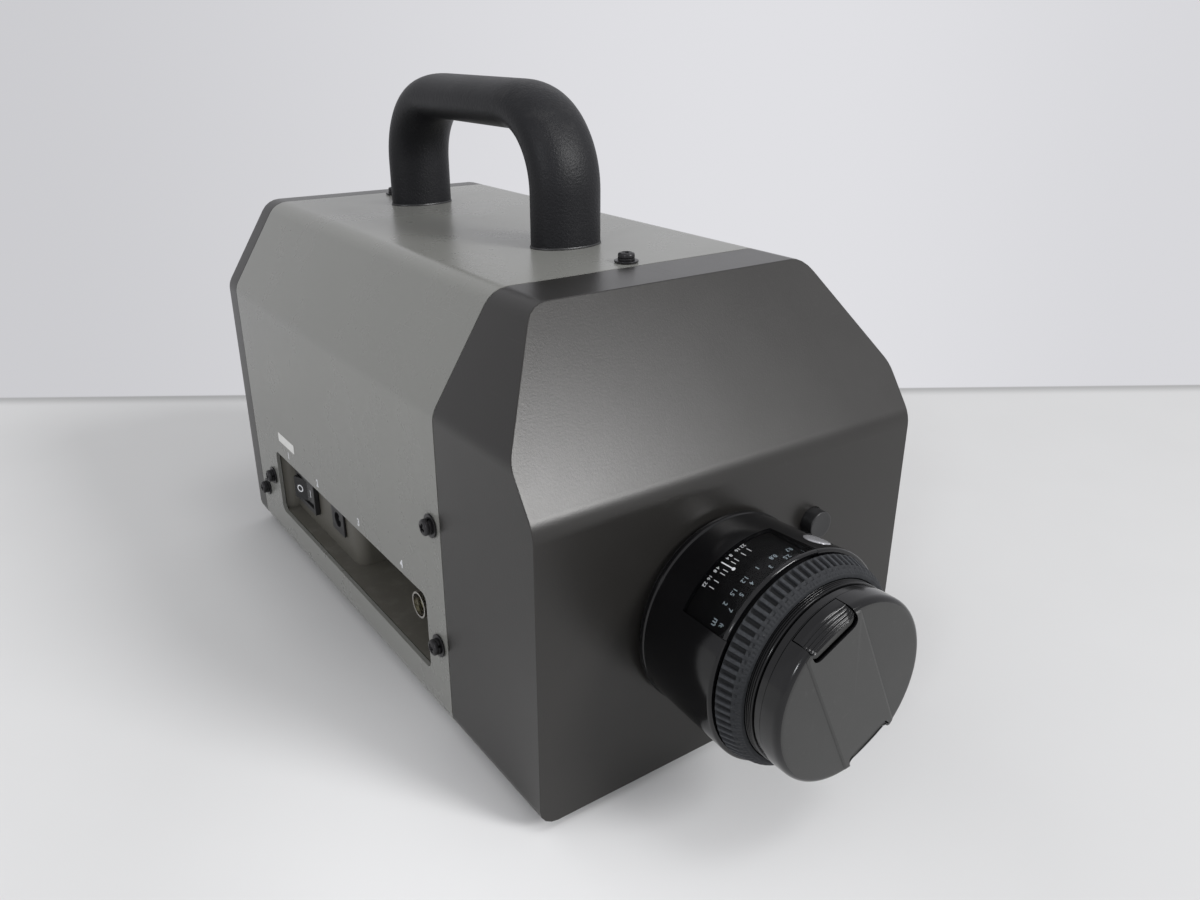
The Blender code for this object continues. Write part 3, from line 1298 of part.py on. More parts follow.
def optical_bench():
    half = RIGHT - BENCH_SIDE_INSET
    bench = block(
        (-half, BENCH_FRONT_INSET, BENCH_LOW), (half, BODY_LENGTH - BENCH_REAR_INSET, BENCH_HIGH)
    )
    upright = block(
        (LENS_ACROSS - UPRIGHT_HALF_WIDTH, UPRIGHT_PLACE, BENCH_LOW + BENCH_THICKNESS / 2),
        (LENS_ACROSS + UPRIGHT_HALF_WIDTH, UPRIGHT_REAR, FINDER_HEIGHT + UPRIGHT_RISE),
    )
    rise = WEDGE_RISE / 2
    inside = UPRIGHT_PLACE + UPRIGHT_THICKNESS / 2
    outline = [
        (UPRIGHT_PLACE - WEDGE_RISE, LENS_HEIGHT - rise), (inside, LENS_HEIGHT - rise),
        (inside, LENS_HEIGHT + rise), (UPRIGHT_PLACE, LENS_HEIGHT + rise),
    ]
    wedge = slab([outline], "X", LENS_ACROSS - WEDGE_HALF_WIDTH, LENS_ACROSS + WEDGE_HALF_WIDTH)
    join(bench, upright, wedge)
    light = rod(
        lens_point(-UPRIGHT_PLACE + WEDGE_RISE + OVERRUN), lens_point(-UPRIGHT_REAR - OVERRUN),
        LIGHT_BORE, PIN_STEPS,
    )
    finder_hole = rod(
        (LENS_ACROSS, UPRIGHT_PLACE - OVERRUN, FINDER_HEIGHT),
        (LENS_ACROSS, UPRIGHT_REAR + OVERRUN, FINDER_HEIGHT),
        FINDER_OUTER + GAP,
        ROUND_STEPS,
    )
    cut(bench, light, finder_hole)
    piece(bench, "optical_bench", "cast_metal")


def aperture_mirror():
    """A mirror lying on the slope of the wedge, with the measuring aperture in its middle."""
    slope = Matrix.Translation(lens_point(-UPRIGHT_PLACE + WEDGE_RISE / 2)) @ Matrix.Rotation(pi / 4, 4, "X")
    across, along = MIRROR_WIDTH / 2, MIRROR_LENGTH / 2
    plate = block((-across, -along, GAP), (across, along, GAP + MIRROR_THICKNESS))
    plate.data.transform(slope)
    reach = MIRROR_THICKNESS + OVERRUN
    middle = -UPRIGHT_PLACE + WEDGE_RISE / 2
    hole = rod(lens_point(middle + reach), lens_point(middle - reach), MIRROR_APERTURE, PIN_STEPS)
    cut(plate, hole)
    piece(plate, "aperture_mirror", "mirror")


def relay():
    base = Vector((LENS_ACROSS, UPRIGHT_REAR + GAP, LENS_HEIGHT))
    outer = RELAY_CELL_BORE + RELAY_CELL_WALL
    profile = [
        (RELAY_CELL_BORE, RELAY_CELL_LENGTH), (outer, RELAY_CELL_LENGTH), (outer, 0), (RELAY_SEAT, 0),
        (RELAY_SEAT, RELAY_SEAT_LENGTH), (RELAY_CELL_BORE, RELAY_SEAT_LENGTH),
    ]
    piece(turned(profile, base, (0, 1, 0), ROUND_STEPS), "relay_lens_cell", "black_steel")
    centre = base + Vector((0, RELAY_SEAT_LENGTH + GAP + RELAY_GLASS_THICKNESS / 2, 0))
    radius = RELAY_CELL_BORE - GAP
    glass = lens_shape(radius, RELAY_GLASS_THICKNESS, RELAY_GLASS_BULGE, centre, (0, 1, 0))
    piece(glass, "relay_lens", "glass")


def shutter():
    x = LENS_ACROSS + SHUTTER_ASIDE
    z = LENS_HEIGHT
    front = SOLENOID_FRONT
    motor = rod((x, front, z), (x, front + SOLENOID_LENGTH, z), SOLENOID_RADIUS, ROUND_STEPS)
    foot = SOLENOID_RADIUS / 2
    pedestal = block((x - foot, front, BENCH_HIGH + GAP), (x + foot, front + SOLENOID_FOOT, z))
    shaft = rod((x, front - SHAFT_LENGTH, z), (x, front + SHAFT_LENGTH, z), SHAFT_RADIUS, PIN_STEPS)
    join(motor, pedestal, shaft)
    piece(motor, "shutter_solenoid", "black_steel")

    half = BLADE_HALF_WIDTH
    outline = rectangle(x - BLADE_LENGTH, z - half, x + half, z + half, half / 2)
    blade = slab([outline], "Y", BLADE_FRONT, BLADE_FRONT + BLADE_THICKNESS)
    eye = rod((x, BLADE_FRONT - OVERRUN, z), (x, SOLENOID_FRONT + OVERRUN, z), SHAFT_RADIUS + GAP, PIN_STEPS)
    cut(blade, eye)
    piece(blade, "shutter_blade", "scale_black", (x, BLADE_FRONT, z))


def spectrometer():
    low = BENCH_HIGH + GAP
    wall = SPECTRO_WALL
    floor = low + wall
    housing = block((SPECTRO_LEFT, SPECTRO_FRONT, low), (SPECTRO_RIGHT, SPECTRO_REAR, SPECTRO_TOP))
    room = block(
        (SPECTRO_LEFT + wall, SPECTRO_FRONT + wall, floor),
        (SPECTRO_RIGHT - wall, SPECTRO_REAR - wall, SPECTRO_TOP + OVERRUN),
    )
    outside = lens_point(OVERRUN - SPECTRO_FRONT)
    inside = lens_point(-SPECTRO_FRONT - wall - OVERRUN)
    slit = rod(outside, inside, SLIT_BORE, PIN_STEPS)
    cut(housing, room, slit)
    piece(housing, "spectrometer_housing", "black_steel")

    half = GRATING_SIZE / 2
    seat = floor + GAP
    grating = block(
        (-half, -GRATING_THICKNESS / 2, 0), (half, GRATING_THICKNESS / 2, LENS_HEIGHT + half - seat)
    )
    along = SPECTRO_FRONT + (SPECTRO_REAR - SPECTRO_FRONT) * GRATING_PLACE_SHARE
    place = (SPECTRO_RIGHT - GRATING_SIDE_INSET, along, seat)
    turn = Matrix.Rotation(radians(GRATING_TURN_DEG), 4, "Z")
    grating.data.transform(Matrix.Translation(place) @ turn)
    piece(grating, "diffraction_grating", "mirror")

    thick = COLLIMATOR_THICKNESS
    dish = thick - COLLIMATOR_DISH
    dish_half = dish + COLLIMATOR_DISH * COLLIMATOR_DISH_SHARE
    rim = COLLIMATOR_RADIUS
    profile = [(0, dish), (rim / 2, dish_half), (rim, thick), (rim, 0), (0, 0)]
    back = lens_point(-SPECTRO_REAR + wall + GAP)
    piece(turned(profile, back, (0, -1, 0), ROUND_STEPS), "collimating_mirror", "mirror")

    front = SPECTRO_FRONT + wall + GAP
    right = SPECTRO_RIGHT - DETECTOR_SIDE_INSET
    rise = DETECTOR_HEIGHT / 2
    middle = right - DETECTOR_LENGTH / 2
    detector = block(
        (right - DETECTOR_LENGTH, front, LENS_HEIGHT - rise),
        (right, front + DETECTOR_THICKNESS, LENS_HEIGHT + rise),
    )
    foot = block(
        (middle - DETECTOR_FOOT / 2, front, seat),
        (middle + DETECTOR_FOOT / 2, front + DETECTOR_THICKNESS / 2, LENS_HEIGHT),
    )
    join(detector, foot)
    piece(detector, "detector_array", "black_plastic")


def main_board():
    """The circuit board, which closes the top of the spectrometer housing."""
    low = SPECTRO_TOP + GAP
    top = low + BOARD_THICKNESS
    left, right = SPECTRO_LEFT + BOARD_INSET, SPECTRO_RIGHT - BOARD_INSET
    front, rear = SPECTRO_FRONT + BOARD_INSET, SPECTRO_REAR - BOARD_INSET
    board = block((left, front, low), (right, rear, top))
    half = (right - left) / 2
    x, y = (left + right) / 2, (front + rear) / 2
    for across in (-1, 1):
        for along in (-1, 1):
            size = half * (CHIP_SMALL_SHARE if across * along > 0 else CHIP_LARGE_SHARE)
            chip_x = x + across * half * CHIP_PLACE_SHARE
            chip_y = y + along * half * CHIP_PLACE_SHARE
            chip = block(
                (chip_x - size, chip_y - size, top - BOARD_THICKNESS / 2),
                (chip_x + size, chip_y + size, top + CHIP_HEIGHT),
            )
            join(board, chip)
    piece(board, "main_board", "board_green")


def finder():
    along = (0, 1, 0)
    radius = FINDER_TUBE_RADIUS
    bore = FINDER_OUTER + GAP
    length = FINDER_REAR - UPRIGHT_PLACE
    profile = [(radius, length), (FINDER_OUTER, length), (FINDER_OUTER, 0), (radius, 0)]
    body = turned(profile, (LENS_ACROSS, UPRIGHT_PLACE, FINDER_HEIGHT), along, ROUND_STEPS)
    piece(body, "finder_tube", "black_steel")

    half = PRISM_SIZE / 2
    back = UPRIGHT_PLACE - GAP
    low, high = FINDER_HEIGHT - half, FINDER_HEIGHT + half
    corners = [(back - PRISM_SIZE, low), (back, low), (back, high)]
    prism = slab([corners], "X", LENS_ACROSS - PRISM_WIDTH / 2, LENS_ACROSS + PRISM_WIDTH / 2)
    piece(prism, "finder_prism", "glass")

    centre = (LENS_ACROSS, FINDER_REAR - EYEPIECE_SET_IN, FINDER_HEIGHT)
    glass = lens_shape(radius - GAP, EYEPIECE_THICKNESS, EYEPIECE_BULGE, centre, along)
    piece(glass, "eyepiece_lens", "glass", centre)

    base = (LENS_ACROSS, DIOPTRE_FRONT, FINDER_HEIGHT)
    ring = slab([ribbed_outline()], "Y", DIOPTRE_FRONT, DIOPTRE_REAR)
    near = (LENS_ACROSS, DIOPTRE_FRONT - OVERRUN, FINDER_HEIGHT)
    far = (LENS_ACROSS, DIOPTRE_REAR + OVERRUN, FINDER_HEIGHT)
    hole = rod(near, far, bore, ROUND_STEPS)
    cut(ring, hole)
    piece(ring, "dioptre_ring", "black_plastic", base)

    wall = EYECUP_WALL
    profile = [
        (EYECUP_RADIUS - wall, EYECUP_LENGTH), (EYECUP_RADIUS, EYECUP_LENGTH), (DIOPTRE_RADIUS, 0),
        (bore, 0), (bore, wall), (DIOPTRE_RADIUS - wall / 2, wall),
    ]
    base = (LENS_ACROSS, EYECUP_FRONT, FINDER_HEIGHT)
    piece(turned(profile, base, along, ROUND_STEPS), "eyecup", "rubber", base)


def ribbed_outline():
    """Outline of the dioptre ring, with square-topped ribs."""
    points = []
    step = 2 * pi / (4 * DIOPTRE_RIBS)
    for k in range(4 * DIOPTRE_RIBS):
        radius = DIOPTRE_RADIUS + (DIOPTRE_RIB_HEIGHT if k % 4 in (1, 2) else 0)
        points.append((LENS_ACROSS + radius * cos(step * k), FINDER_HEIGHT + radius * sin(step * k)))
    return points


def main():
    body_cover()
    front_bezel()
    rear_cap()
    base_plate()
    tripod_bush()
    feet()
    cover_screws()
    carry_handle()
    handle_bolts()
    connector_panel()
    power_switch()
    power_inlet()
    serial_socket()
    sync_jack()
    lens_mount()
    lens_barrel()
    scale_window()
    scale_drum()
    focus_ring()
    front_barrel()
    glass_elements()
    lens_cap()
    cap_tabs()
    cap_springs()
    release_button()
    optical_bench()
    aperture_mirror()
    relay()
    shutter()
    spectrometer()
    main_board()
    finder()
    FRAME.location = (0, (CAP_FRONT - EYECUP_REAR) / 2, 0)


main()
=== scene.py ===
"""Looks of a bench spectroradiometer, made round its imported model.

Metres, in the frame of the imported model: the origin is the centre of the footprint on the table, the lens
points to -Y and +Z is up. Places on the lens are given as a turn round its axis, counted from +X over the top,
and a distance in front of the case's front face.
"""

import json
from math import cos, pi, radians, sin, tau

import bmesh
import bpy
import numpy as np
from bpy.props import FloatProperty, FloatVectorProperty, IntProperty, PointerProperty
from mathutils import Matrix, Vector


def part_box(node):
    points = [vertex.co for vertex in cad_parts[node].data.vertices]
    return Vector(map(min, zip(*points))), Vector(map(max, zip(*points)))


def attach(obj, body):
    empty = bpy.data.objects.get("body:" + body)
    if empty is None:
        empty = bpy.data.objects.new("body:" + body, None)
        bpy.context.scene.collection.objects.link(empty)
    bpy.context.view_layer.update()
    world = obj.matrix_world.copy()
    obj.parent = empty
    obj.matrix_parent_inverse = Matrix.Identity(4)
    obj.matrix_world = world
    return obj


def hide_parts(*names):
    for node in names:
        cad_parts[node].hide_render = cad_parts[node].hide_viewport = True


bl_info = {
    "name": "Bench Spectroradiometer",
    "version": (1, 0, 0),
    "blender": (4, 5, 0),
    "location": "View3D > Sidebar > Instrument",
    "description": "Dresses the packed model of a bench spectroradiometer and sets up its stage",
    "category": "Add Mesh",
}

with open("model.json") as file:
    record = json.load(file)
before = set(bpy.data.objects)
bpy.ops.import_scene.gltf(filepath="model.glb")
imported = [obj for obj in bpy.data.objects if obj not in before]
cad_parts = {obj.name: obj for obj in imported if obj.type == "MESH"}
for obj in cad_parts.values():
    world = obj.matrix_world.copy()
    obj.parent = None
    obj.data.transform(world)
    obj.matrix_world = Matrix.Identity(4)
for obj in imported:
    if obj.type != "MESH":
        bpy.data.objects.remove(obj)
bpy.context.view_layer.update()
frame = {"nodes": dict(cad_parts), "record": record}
NODES = frame["nodes"]
RECORD = frame["record"]
BODY_OF = {node: body for body, nodes in RECORD["behaviour"]["bodies"].items() for node in nodes}
SLOT_OF = {part["node"]: part["material_slot"] for part in RECORD["subparts"]}

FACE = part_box("front_bezel")[0].y
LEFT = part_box("body_cover")[0].x
FORWARD = np.array((0.0, -1.0, 0.0))
ACROSS = np.array((1.0, 0.0, 0.0))
UPWARD = np.array((0.0, 0.0, 1.0))


def middle(node):
    """Centre of a node's box."""
    low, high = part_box(node)
    return (np.array(low) + np.array(high)) / 2


def reach(node):
    """Distances in front of the face at which a node begins and ends."""
    low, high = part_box(node)
    return FACE - high.y, FACE - low.y


LENS = Vector((middle("lens_mount")[0], FACE, middle("lens_mount")[2]))
BARREL_REAR = reach("lens_mount")[1] + 0.0003
BARREL_FRONT = reach("lens_barrel")[1]
WINDOW_FROM, WINDOW_TO = 83.0, 150.0
WINDOW_REAR = BARREL_FRONT - 0.0179
DRUM_RADIUS = 0.0299
CAP_TURN = radians(115.0)
CAP_FRONT = reach("lens_cap")[1]
CAP_RADIUS = 0.0272
PRINT_DEPTH = 0.00003


def barrel_radius(distance):
    """Outer radius of the lens barrel, which widens evenly towards its front."""
    return 0.0308 + 0.0018 * (distance - 0.002) / (BARREL_FRONT - 0.002)


# Arrays of points and faces


def net(rows, columns, round_rows=False, round_columns=False):
    """Four-sided faces between the neighbouring points of a grid, closed round where asked."""
    r = np.arange(rows if round_rows else rows - 1)[:, None]
    c = np.arange(columns if round_columns else columns - 1)[None, :]
    up, along = (r + 1) % rows, (c + 1) % columns
    corners = (r * columns + c, r * columns + along, up * columns + along, up * columns + c)
    return np.stack(np.broadcast_arrays(*corners), -1).reshape(-1, 4)


def rectangle(left, right, low, high):
    """Four corners, from the lower left one anticlockwise."""
    return [(left, low), (right, low), (right, high), (left, high)]


def eased(corners, radius, steps=4):
    """Rounds the corners of a closed outline: between two points that lie `radius` before and after a corner
    runs a quadratic curve which leaves along both edges."""
    here = np.asarray(corners, float)
    room = np.broadcast_to(radius, len(here))[:, None]
    before, after = np.roll(here, 1, 0) - here, np.roll(here, -1, 0) - here
    long_before = np.linalg.norm(before, axis=1, keepdims=True) + 1e-12
    long_after = np.linalg.norm(after, axis=1, keepdims=True) + 1e-12
    start = here + before / long_before * np.minimum(room, long_before * 0.49)
    end = here + after / long_after * np.minimum(room, long_after * 0.49)
    s = np.linspace(0, 1, steps + 1)[None, :, None]
    curve = start[:, None] * (1 - s) ** 2 + 2 * here[:, None] * s * (1 - s) + end[:, None] * s**2
    return curve.reshape(-1, here.shape[1])


def smooth_step(value, low, high):
    """0 below low, 1 above high, and 3t^2 - 2t^3 between them."""
    t = np.clip((np.asarray(value, float) - low) / (high - low), 0, 1)
    return t * t * (3 - 2 * t)


def hump(value, *edges):
    """Rises from 0 to 1 between the first two edges and falls back to 0 between the last two."""
    return smooth_step(value, *edges[:2]) * (1 - smooth_step(value, *edges[2:]))


def power(value, exponent):
    """The value's size to a power, with the value's sign."""
    return np.sign(value) * np.abs(value) ** exponent


def turned(t, r, d, centre=LENS, along=FORWARD, side=ACROSS, up=UPWARD):
    """centre + d * along + r * (cos t * side + sin t * up), from arrays of one shape."""
    points = np.array(centre) + d[..., None] * along
    return points + (r * np.cos(t))[..., None] * side + (r * np.sin(t))[..., None] * up


class Shape:
    """Arrays of points and faces gathered for one mesh."""

    def __init__(self):
        self.points, self.faces, self.count = [], [], 0

    def add(self, points, *blocks):
        """Adds points, and blocks of faces that count from the first of them."""
        points = np.asarray(points, float).reshape(-1, 3)
        for block in blocks:
            self.faces += [[int(k) + self.count for k in face] for face in block]
        self.points.append(points)
        self.count += len(points)
        return self

    def lathe(self, profile, steps, *axis, ring=True, relief=None):
        """Profile points (radius, distance) turned round an axis, which is given as in turned(). The profile is
        closed where it is a ring. A relief returns what it adds to radius and distance."""
        profile = np.asarray(profile, float)
        t = np.linspace(0, tau, steps, endpoint=False)[:, None]
        r = np.broadcast_to(profile[:, 0], (steps, len(profile)))
        d = np.broadcast_to(profile[:, 1], (steps, len(profile)))
        if relief:
            more_r, more_d = relief(t, r, d)
            r, d = r + more_r, d + more_d
        return self.add(turned(t, r, d, *axis), net(steps, len(profile), True, ring))

    def sweep(self, sections):
        """Closed sections in a row, an array of (rows, points, 3), joined by faces and closed at both ends."""
        rows, count = sections.shape[:2]
        ends = [list(range(count)), list(range((rows - 1) * count, rows * count))]
        return self.add(sections, net(rows, count, False, True), ends)

    def extrude(self, outline, low, high, place):
        """A flat outline carried from one height to another by place(u, v, w)."""
        outline = np.asarray(outline, float)
        levels = [place(outline[:, 0], outline[:, 1], np.full(len(outline), w)) for w in (low, high)]
        return self.sweep(np.stack(levels))


def coordinates(mesh):
    """The places of a mesh's points, as an array."""
    points = np.empty(len(mesh.vertices) * 3)
    mesh.vertices.foreach_get("co", points)
    return points.reshape(-1, 3)


def gather(shapes):
    """One shape out of several."""
    whole = Shape()
    for shape in shapes:
        whole.add(np.concatenate(shape.points), shape.faces)
    return whole


def on_lens(turn, distance, radius):
    """Points on the lens from a turn in radians, a distance in front of the face and a radius."""
    t, d, r = np.broadcast_arrays(turn, distance, radius)
    return turned(t, r, d)


def wrapped(turn, distance, skin):
    """Carries flat (u, v, w) onto the lens: the radius is w more than skin(distance + v), and the turn, given
    in degrees, grows by u / radius."""

    def place(u, v, w):
        radius = skin(distance + v) + w
        return on_lens(radians(turn) + u / radius, distance + v, radius)

    return place


def on_cap(across, along, distance):
    """Points in front of the face from two places on the lens cap, across and along the line of its tabs."""
    c, s = cos(CAP_TURN), sin(CAP_TURN)
    x, z = LENS.x + along * c + across * s, LENS.z + along * s - across * c
    return np.stack(np.broadcast_arrays(x, FACE - distance, z), -1)


def on_left_side(y, z, lift=0.0):
    """Carries flat (u, v, w) onto the left side of the case, read by someone who faces it."""
    return lambda u, v, w: np.stack([LEFT - lift - w, y - u, z + v], -1)


# Objects


def solid(shape, name):
    """An object from a shape, with its seams and poles welded and its faces turned outwards."""
    mesh = bpy.data.meshes.new(name)
    mesh.from_pydata(np.concatenate(shape.points).tolist(), [], shape.faces)
    return settled(mesh, name)


def settled(mesh, name, flat=0.0):
    """Welds a mesh, joins its flat triangles if asked, turns it outwards and makes an object of it."""
    bm = bmesh.new()
    bm.from_mesh(mesh)
    bmesh.ops.remove_doubles(bm, verts=bm.verts, dist=1e-6)
    if flat:
        bmesh.ops.dissolve_limit(bm, angle_limit=radians(flat), verts=bm.verts, edges=bm.edges)
    bmesh.ops.recalc_face_normals(bm, faces=bm.faces)
    bm.to_mesh(mesh)
    bm.free()
    obj = bpy.data.objects.new(name, mesh)
    bpy.context.scene.collection.objects.link(obj)
    return obj


def carve(obj, *tools):
    """Cuts objects out of another one, and removes them."""
    for tool in tools:
        step = obj.modifiers.new("carve", "BOOLEAN")
        step.operation, step.solver, step.object = "DIFFERENCE", "EXACT", tool
    graph = bpy.context.evaluated_depsgraph_get()
    mesh = bpy.data.meshes.new_from_object(obj.evaluated_get(graph))
    obj.modifiers.clear()
    obj.data = mesh
    for tool in tools:
        bpy.data.objects.remove(tool, do_unlink=True)
    if not mesh.polygons:
        raise RuntimeError(f"nothing is left of {obj.name}")
    return obj


def hang(obj, coat, *stands_for, body=None, slot=None, sharp=35.0, bevel=0.0, weighted=False):
    """Gives an object its finish, and the body of the node it stands for unless another is given, and hides the
    nodes it stands for. The slot is not used."""
    mesh = obj.data
    mesh.materials.clear()
    mesh.materials.append(finish(coat))
    mesh.shade_smooth()
    mesh.set_sharp_from_angle(angle=radians(sharp))
    if bevel:
        edge = obj.modifiers.new("edge", "BEVEL")
        edge.width, edge.segments, edge.limit_method = bevel, 2, "ANGLE"
        edge.angle_limit, edge.harden_normals, edge.use_clamp_overlap = radians(sharp), True, True
    if weighted:
        obj.modifiers.new("shade", "WEIGHTED_NORMAL").keep_sharp = True
    body = body or BODY_OF[stands_for[0]]
    slot = slot or SLOT_OF[stands_for[0]]
    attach(obj, body)
    if stands_for:
        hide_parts(*stands_for)
    return obj


def dressed(node, name, coat, sharp=35.0, bevel=0.0):
    """A smooth-shaded copy of a node, which it stands for."""
    obj = settled(NODES[node].data.copy(), name, 0.4)
    return hang(obj, coat, node, sharp=sharp, bevel=bevel, weighted=not bevel)


def lettering(text, height, place, depth=PRINT_DEPTH, weight=0.0):
    """A shape of the text, its height given in metres, with place(u, v, w) carrying its points to a surface."""
    curve = bpy.data.curves.new("lettering", "FONT")
    curve.body, curve.align_x, curve.extrude, curve.offset = text, "CENTER", 0.1, weight
    curve.resolution_u = 3
    holder = bpy.data.objects.new("lettering", curve)
    bpy.context.scene.collection.objects.link(holder)
    graph = bpy.context.evaluated_depsgraph_get()
    mesh = bpy.data.meshes.new_from_object(holder.evaluated_get(graph))
    points = coordinates(mesh)
    faces = [list(face.vertices) for face in mesh.polygons]
    bpy.data.objects.remove(holder, do_unlink=True)
    bpy.data.meshes.remove(mesh)
    low, high = points.min(0), points.max(0)
    size = height / (high[1] - low[1])
    u = (points[:, 0] - (low[0] + high[0]) / 2) * size
    v = (points[:, 1] - (low[1] + high[1]) / 2) * size
    w = (points[:, 2] - low[2]) / (high[2] - low[2]) * depth
    return Shape().add(place(u, v, w), faces)


# Materials


class Signal:
    """The output of one shader node. Arithmetic on it adds Math nodes."""

    def __init__(self, wiring, socket):
        self.wiring, self.socket = wiring, socket

    def math(self, operation, other, clamp=False):
        settings = {"operation": operation, "use_clamp": clamp}
        return self.wiring.node("ShaderNodeMath", settings, {0: self, 1: other})

    def __add__(self, other):
        return self.math("ADD", other)

    __radd__ = __add__

    def __sub__(self, other):
        return self.math("SUBTRACT", other)

    def __rsub__(self, other):
        return self.wiring.node("ShaderNodeMath", {"operation": "SUBTRACT"}, {0: other, 1: self})

    def __mul__(self, other):
        return self.math("MULTIPLY", other)

    __rmul__ = __mul__

    def rise(self, low, high):
        """0 below low, 1 above high and a smooth step between."""
        values = {"Value": self, "From Min": low, "From Max": high}
        return self.wiring.node("ShaderNodeMapRange", {"interpolation_type": "SMOOTHSTEP"}, values)


class Wiring:
    """A node tree that grows by calls of node()."""

    def __init__(self, tree):
        self.tree = tree

    def node(self, kind, settings=None, values=None, output=0):
        """Adds a node: its settings come first, then the values or links of its sockets."""
        new = self.tree.nodes.new(kind)
        for key, value in (settings or {}).items():
            setattr(new, key, value)
        for key, value in (values or {}).items():
            if isinstance(value, Signal):
                self.tree.links.new(value.socket, new.inputs[key])
            else:
                new.inputs[key].default_value = value
        return Signal(self, new.outputs[output])

    def vector(self, operation, first, second, output="Value"):
        """Vector maths on two vectors."""
        return self.node("ShaderNodeVectorMath", {"operation": operation}, {0: first, 1: second}, output)

    def axis(self, vector, name):
        """One of a vector's X, Y and Z."""
        return self.node("ShaderNodeSeparateXYZ", None, {0: vector}, name)

    def mix(self, factor, first, second):
        """A colour between two others."""
        return self.node("ShaderNodeMix", {"data_type": "RGBA"}, {0: factor, 6: first, 7: second}, 2)

    def tint(self, colour, strength):
        """A colour times a number."""
        colour = colour if isinstance(colour, Signal) else tuple(colour)[:3]
        return self.node("ShaderNodeVectorMath", {"operation": "SCALE"}, {0: colour, "Scale": strength})


class Finish(Wiring):
    """A material under construction, on Object coordinates."""

    def __init__(self, name):
        self.material = bpy.data.materials.new(name)
        self.material.use_nodes = True
        super().__init__(self.material.node_tree)
        self.shader = self.tree.nodes["Principled BSDF"]
        self.place = self.node("ShaderNodeTexCoord", output="Object")

    def noise(self, size, detail=2.0, roughness=0.5, stretch=None):
        """Noise with features of about that size in metres, longer where the stretch is under 1."""
        place = self.place
        if stretch:
            place = self.node("ShaderNodeMapping", None, {"Vector": place, "Scale": stretch})
        values = {"Vector": place, "Scale": 1 / size, "Detail": detail, "Roughness": roughness}
        return self.node("ShaderNodeTexNoise", None, values)

    def cells(self, size):
        """Distance to the nearest of scattered points that lie about that size apart."""
        return self.node("ShaderNodeTexVoronoi", None, {"Vector": self.place, "Scale": 1 / size})

    def facing(self, name, kind="Normal"):
        """How far the surface faces along X, Y or Z, from -1 to 1."""
        return self.axis(self.node("ShaderNodeNewGeometry", output=kind), name)

    def fixed(self, **values):
        """Constants on the shader's own sockets."""
        for key, value in values.items():
            self.shader.inputs[key.replace("_", " ")].default_value = value

    def feed(self, key, signal):
        """Links a signal to one of the shader's sockets."""
        self.tree.links.new(signal.socket, self.shader.inputs[key])

    def bump(self, height, depth):
        """Relief of that depth in metres from a height between 0 and 1."""
        values = {"Height": height, "Distance": depth, "Strength": 1.0}
        self.feed("Normal", self.node("ShaderNodeBump", None, values, "Normal"))


def rgba(colour):
    """A colour with an alpha of 1."""
    return (*tuple(colour)[:3], 1.0)


def coating(name, colour, roughness, metallic=0.0, mottle=0.05, mottle_size=0.02, flake=0.0, flake_size=0.0003,
            grain=0.0, grain_size=0.0006, smudge=0.05, dust=0.0, scuff=0.0, shine=0.5):
    """Paint, plastic or metal: a colour that varies in soft clouds and fine flakes, a roughness with smudges
    and fine rubbed streaks, a grain in relief, and dust on what faces up."""
    made = Finish(name)
    made.fixed(Metallic=metallic, Specular_IOR_Level=shine)
    tone = 1 + (made.noise(mottle_size, 4.0) - 0.5) * (mottle * 2)
    if flake:
        tone = tone + (made.noise(flake_size, 1.0) - 0.5) * (flake * 2)
    shade = made.tint(rgba(colour), tone)
    rough = roughness + (made.noise(0.03, 5.0, 0.65) - 0.5) * (smudge * 2)
    if scuff:
        streaks = made.noise(0.0012, 2.0, 0.6, (1.0, 0.04, 1.0)).rise(0.62, 0.72)
        worn = streaks * made.noise(0.035, 3.0).rise(0.5, 0.7) * scuff
        shade = made.mix(worn, shade, rgba([min(1.0, c * 1.6 + 0.03) for c in colour]))
        rough = rough + worn * 0.25
    if dust:
        lies = made.facing("Z").rise(0.3, 0.95) * made.noise(0.006, 6.0, 0.7).rise(0.45, 0.75) * dust
        shade = made.mix(lies, shade, (0.42, 0.41, 0.39, 1.0))
        rough = rough + lies * 0.4
    made.feed("Base Color", shade)
    made.feed("Roughness", rough.math("MAXIMUM", 0.03))
    if grain:
        made.bump(made.noise(grain_size, 2.0, 0.55) + made.cells(grain_size * 1.8) * 0.5, grain)
    return made.material


def glazing(name, colour, alpha, roughness=0.03, rim=None):
    """Clear or smoked glass: seen through by its alpha, with faint smears in its roughness. From a rim's place
    along -Y forwards it is blackened."""
    made = Finish(name)
    made.fixed(Base_Color=rgba(colour), Specular_IOR_Level=0.5, Alpha=alpha)
    if rim:
        ahead = made.axis(made.place, "Y") * -1
        made.feed("Alpha", alpha + ahead.rise(rim, rim + 0.0004) * (1 - alpha))
    made.feed("Roughness", roughness + made.noise(0.01, 4.0, 0.6).rise(0.45, 0.8) * 0.05)
    return made.material


def ribbed_rubber(name, colour):
    """Rubber of the focus ring: a matt black, greyed by handling on the rib tops where the mesh's attribute is
    high, and painted dark as shade in the grooves, where it is low.
    """
    made = Finish(name)
    wear = made.node("ShaderNodeAttribute", {"attribute_name": "wear"}, output="Fac")
    rub_and_groove_shade = (0.55 + made.noise(0.0008, 4.0, 0.7).rise(0.3, 0.7) * 0.45) * wear
    # painted shade: at 0, in the grooves, the rubber is painted dark at 0.35 of its colour; the rib tops,
    # rubbed by handling, are lighter at 1.5
    shade = made.mix(rub_and_groove_shade, rgba([c * 0.35 for c in colour]), rgba([c * 1.5 + 0.004 for c in colour]))
    lint = made.noise(0.0006, 2.0, 0.6).rise(0.7, 0.76) * 0.35
    made.fixed(Specular_IOR_Level=0.25)
    made.feed("Base Color", made.mix(lint, shade, (0.14, 0.14, 0.135, 1.0)))
    made.feed("Roughness", 0.6 + made.noise(0.004, 3.0) * 0.2)
    made.bump(made.noise(0.0003), 0.00002)
    return made.material


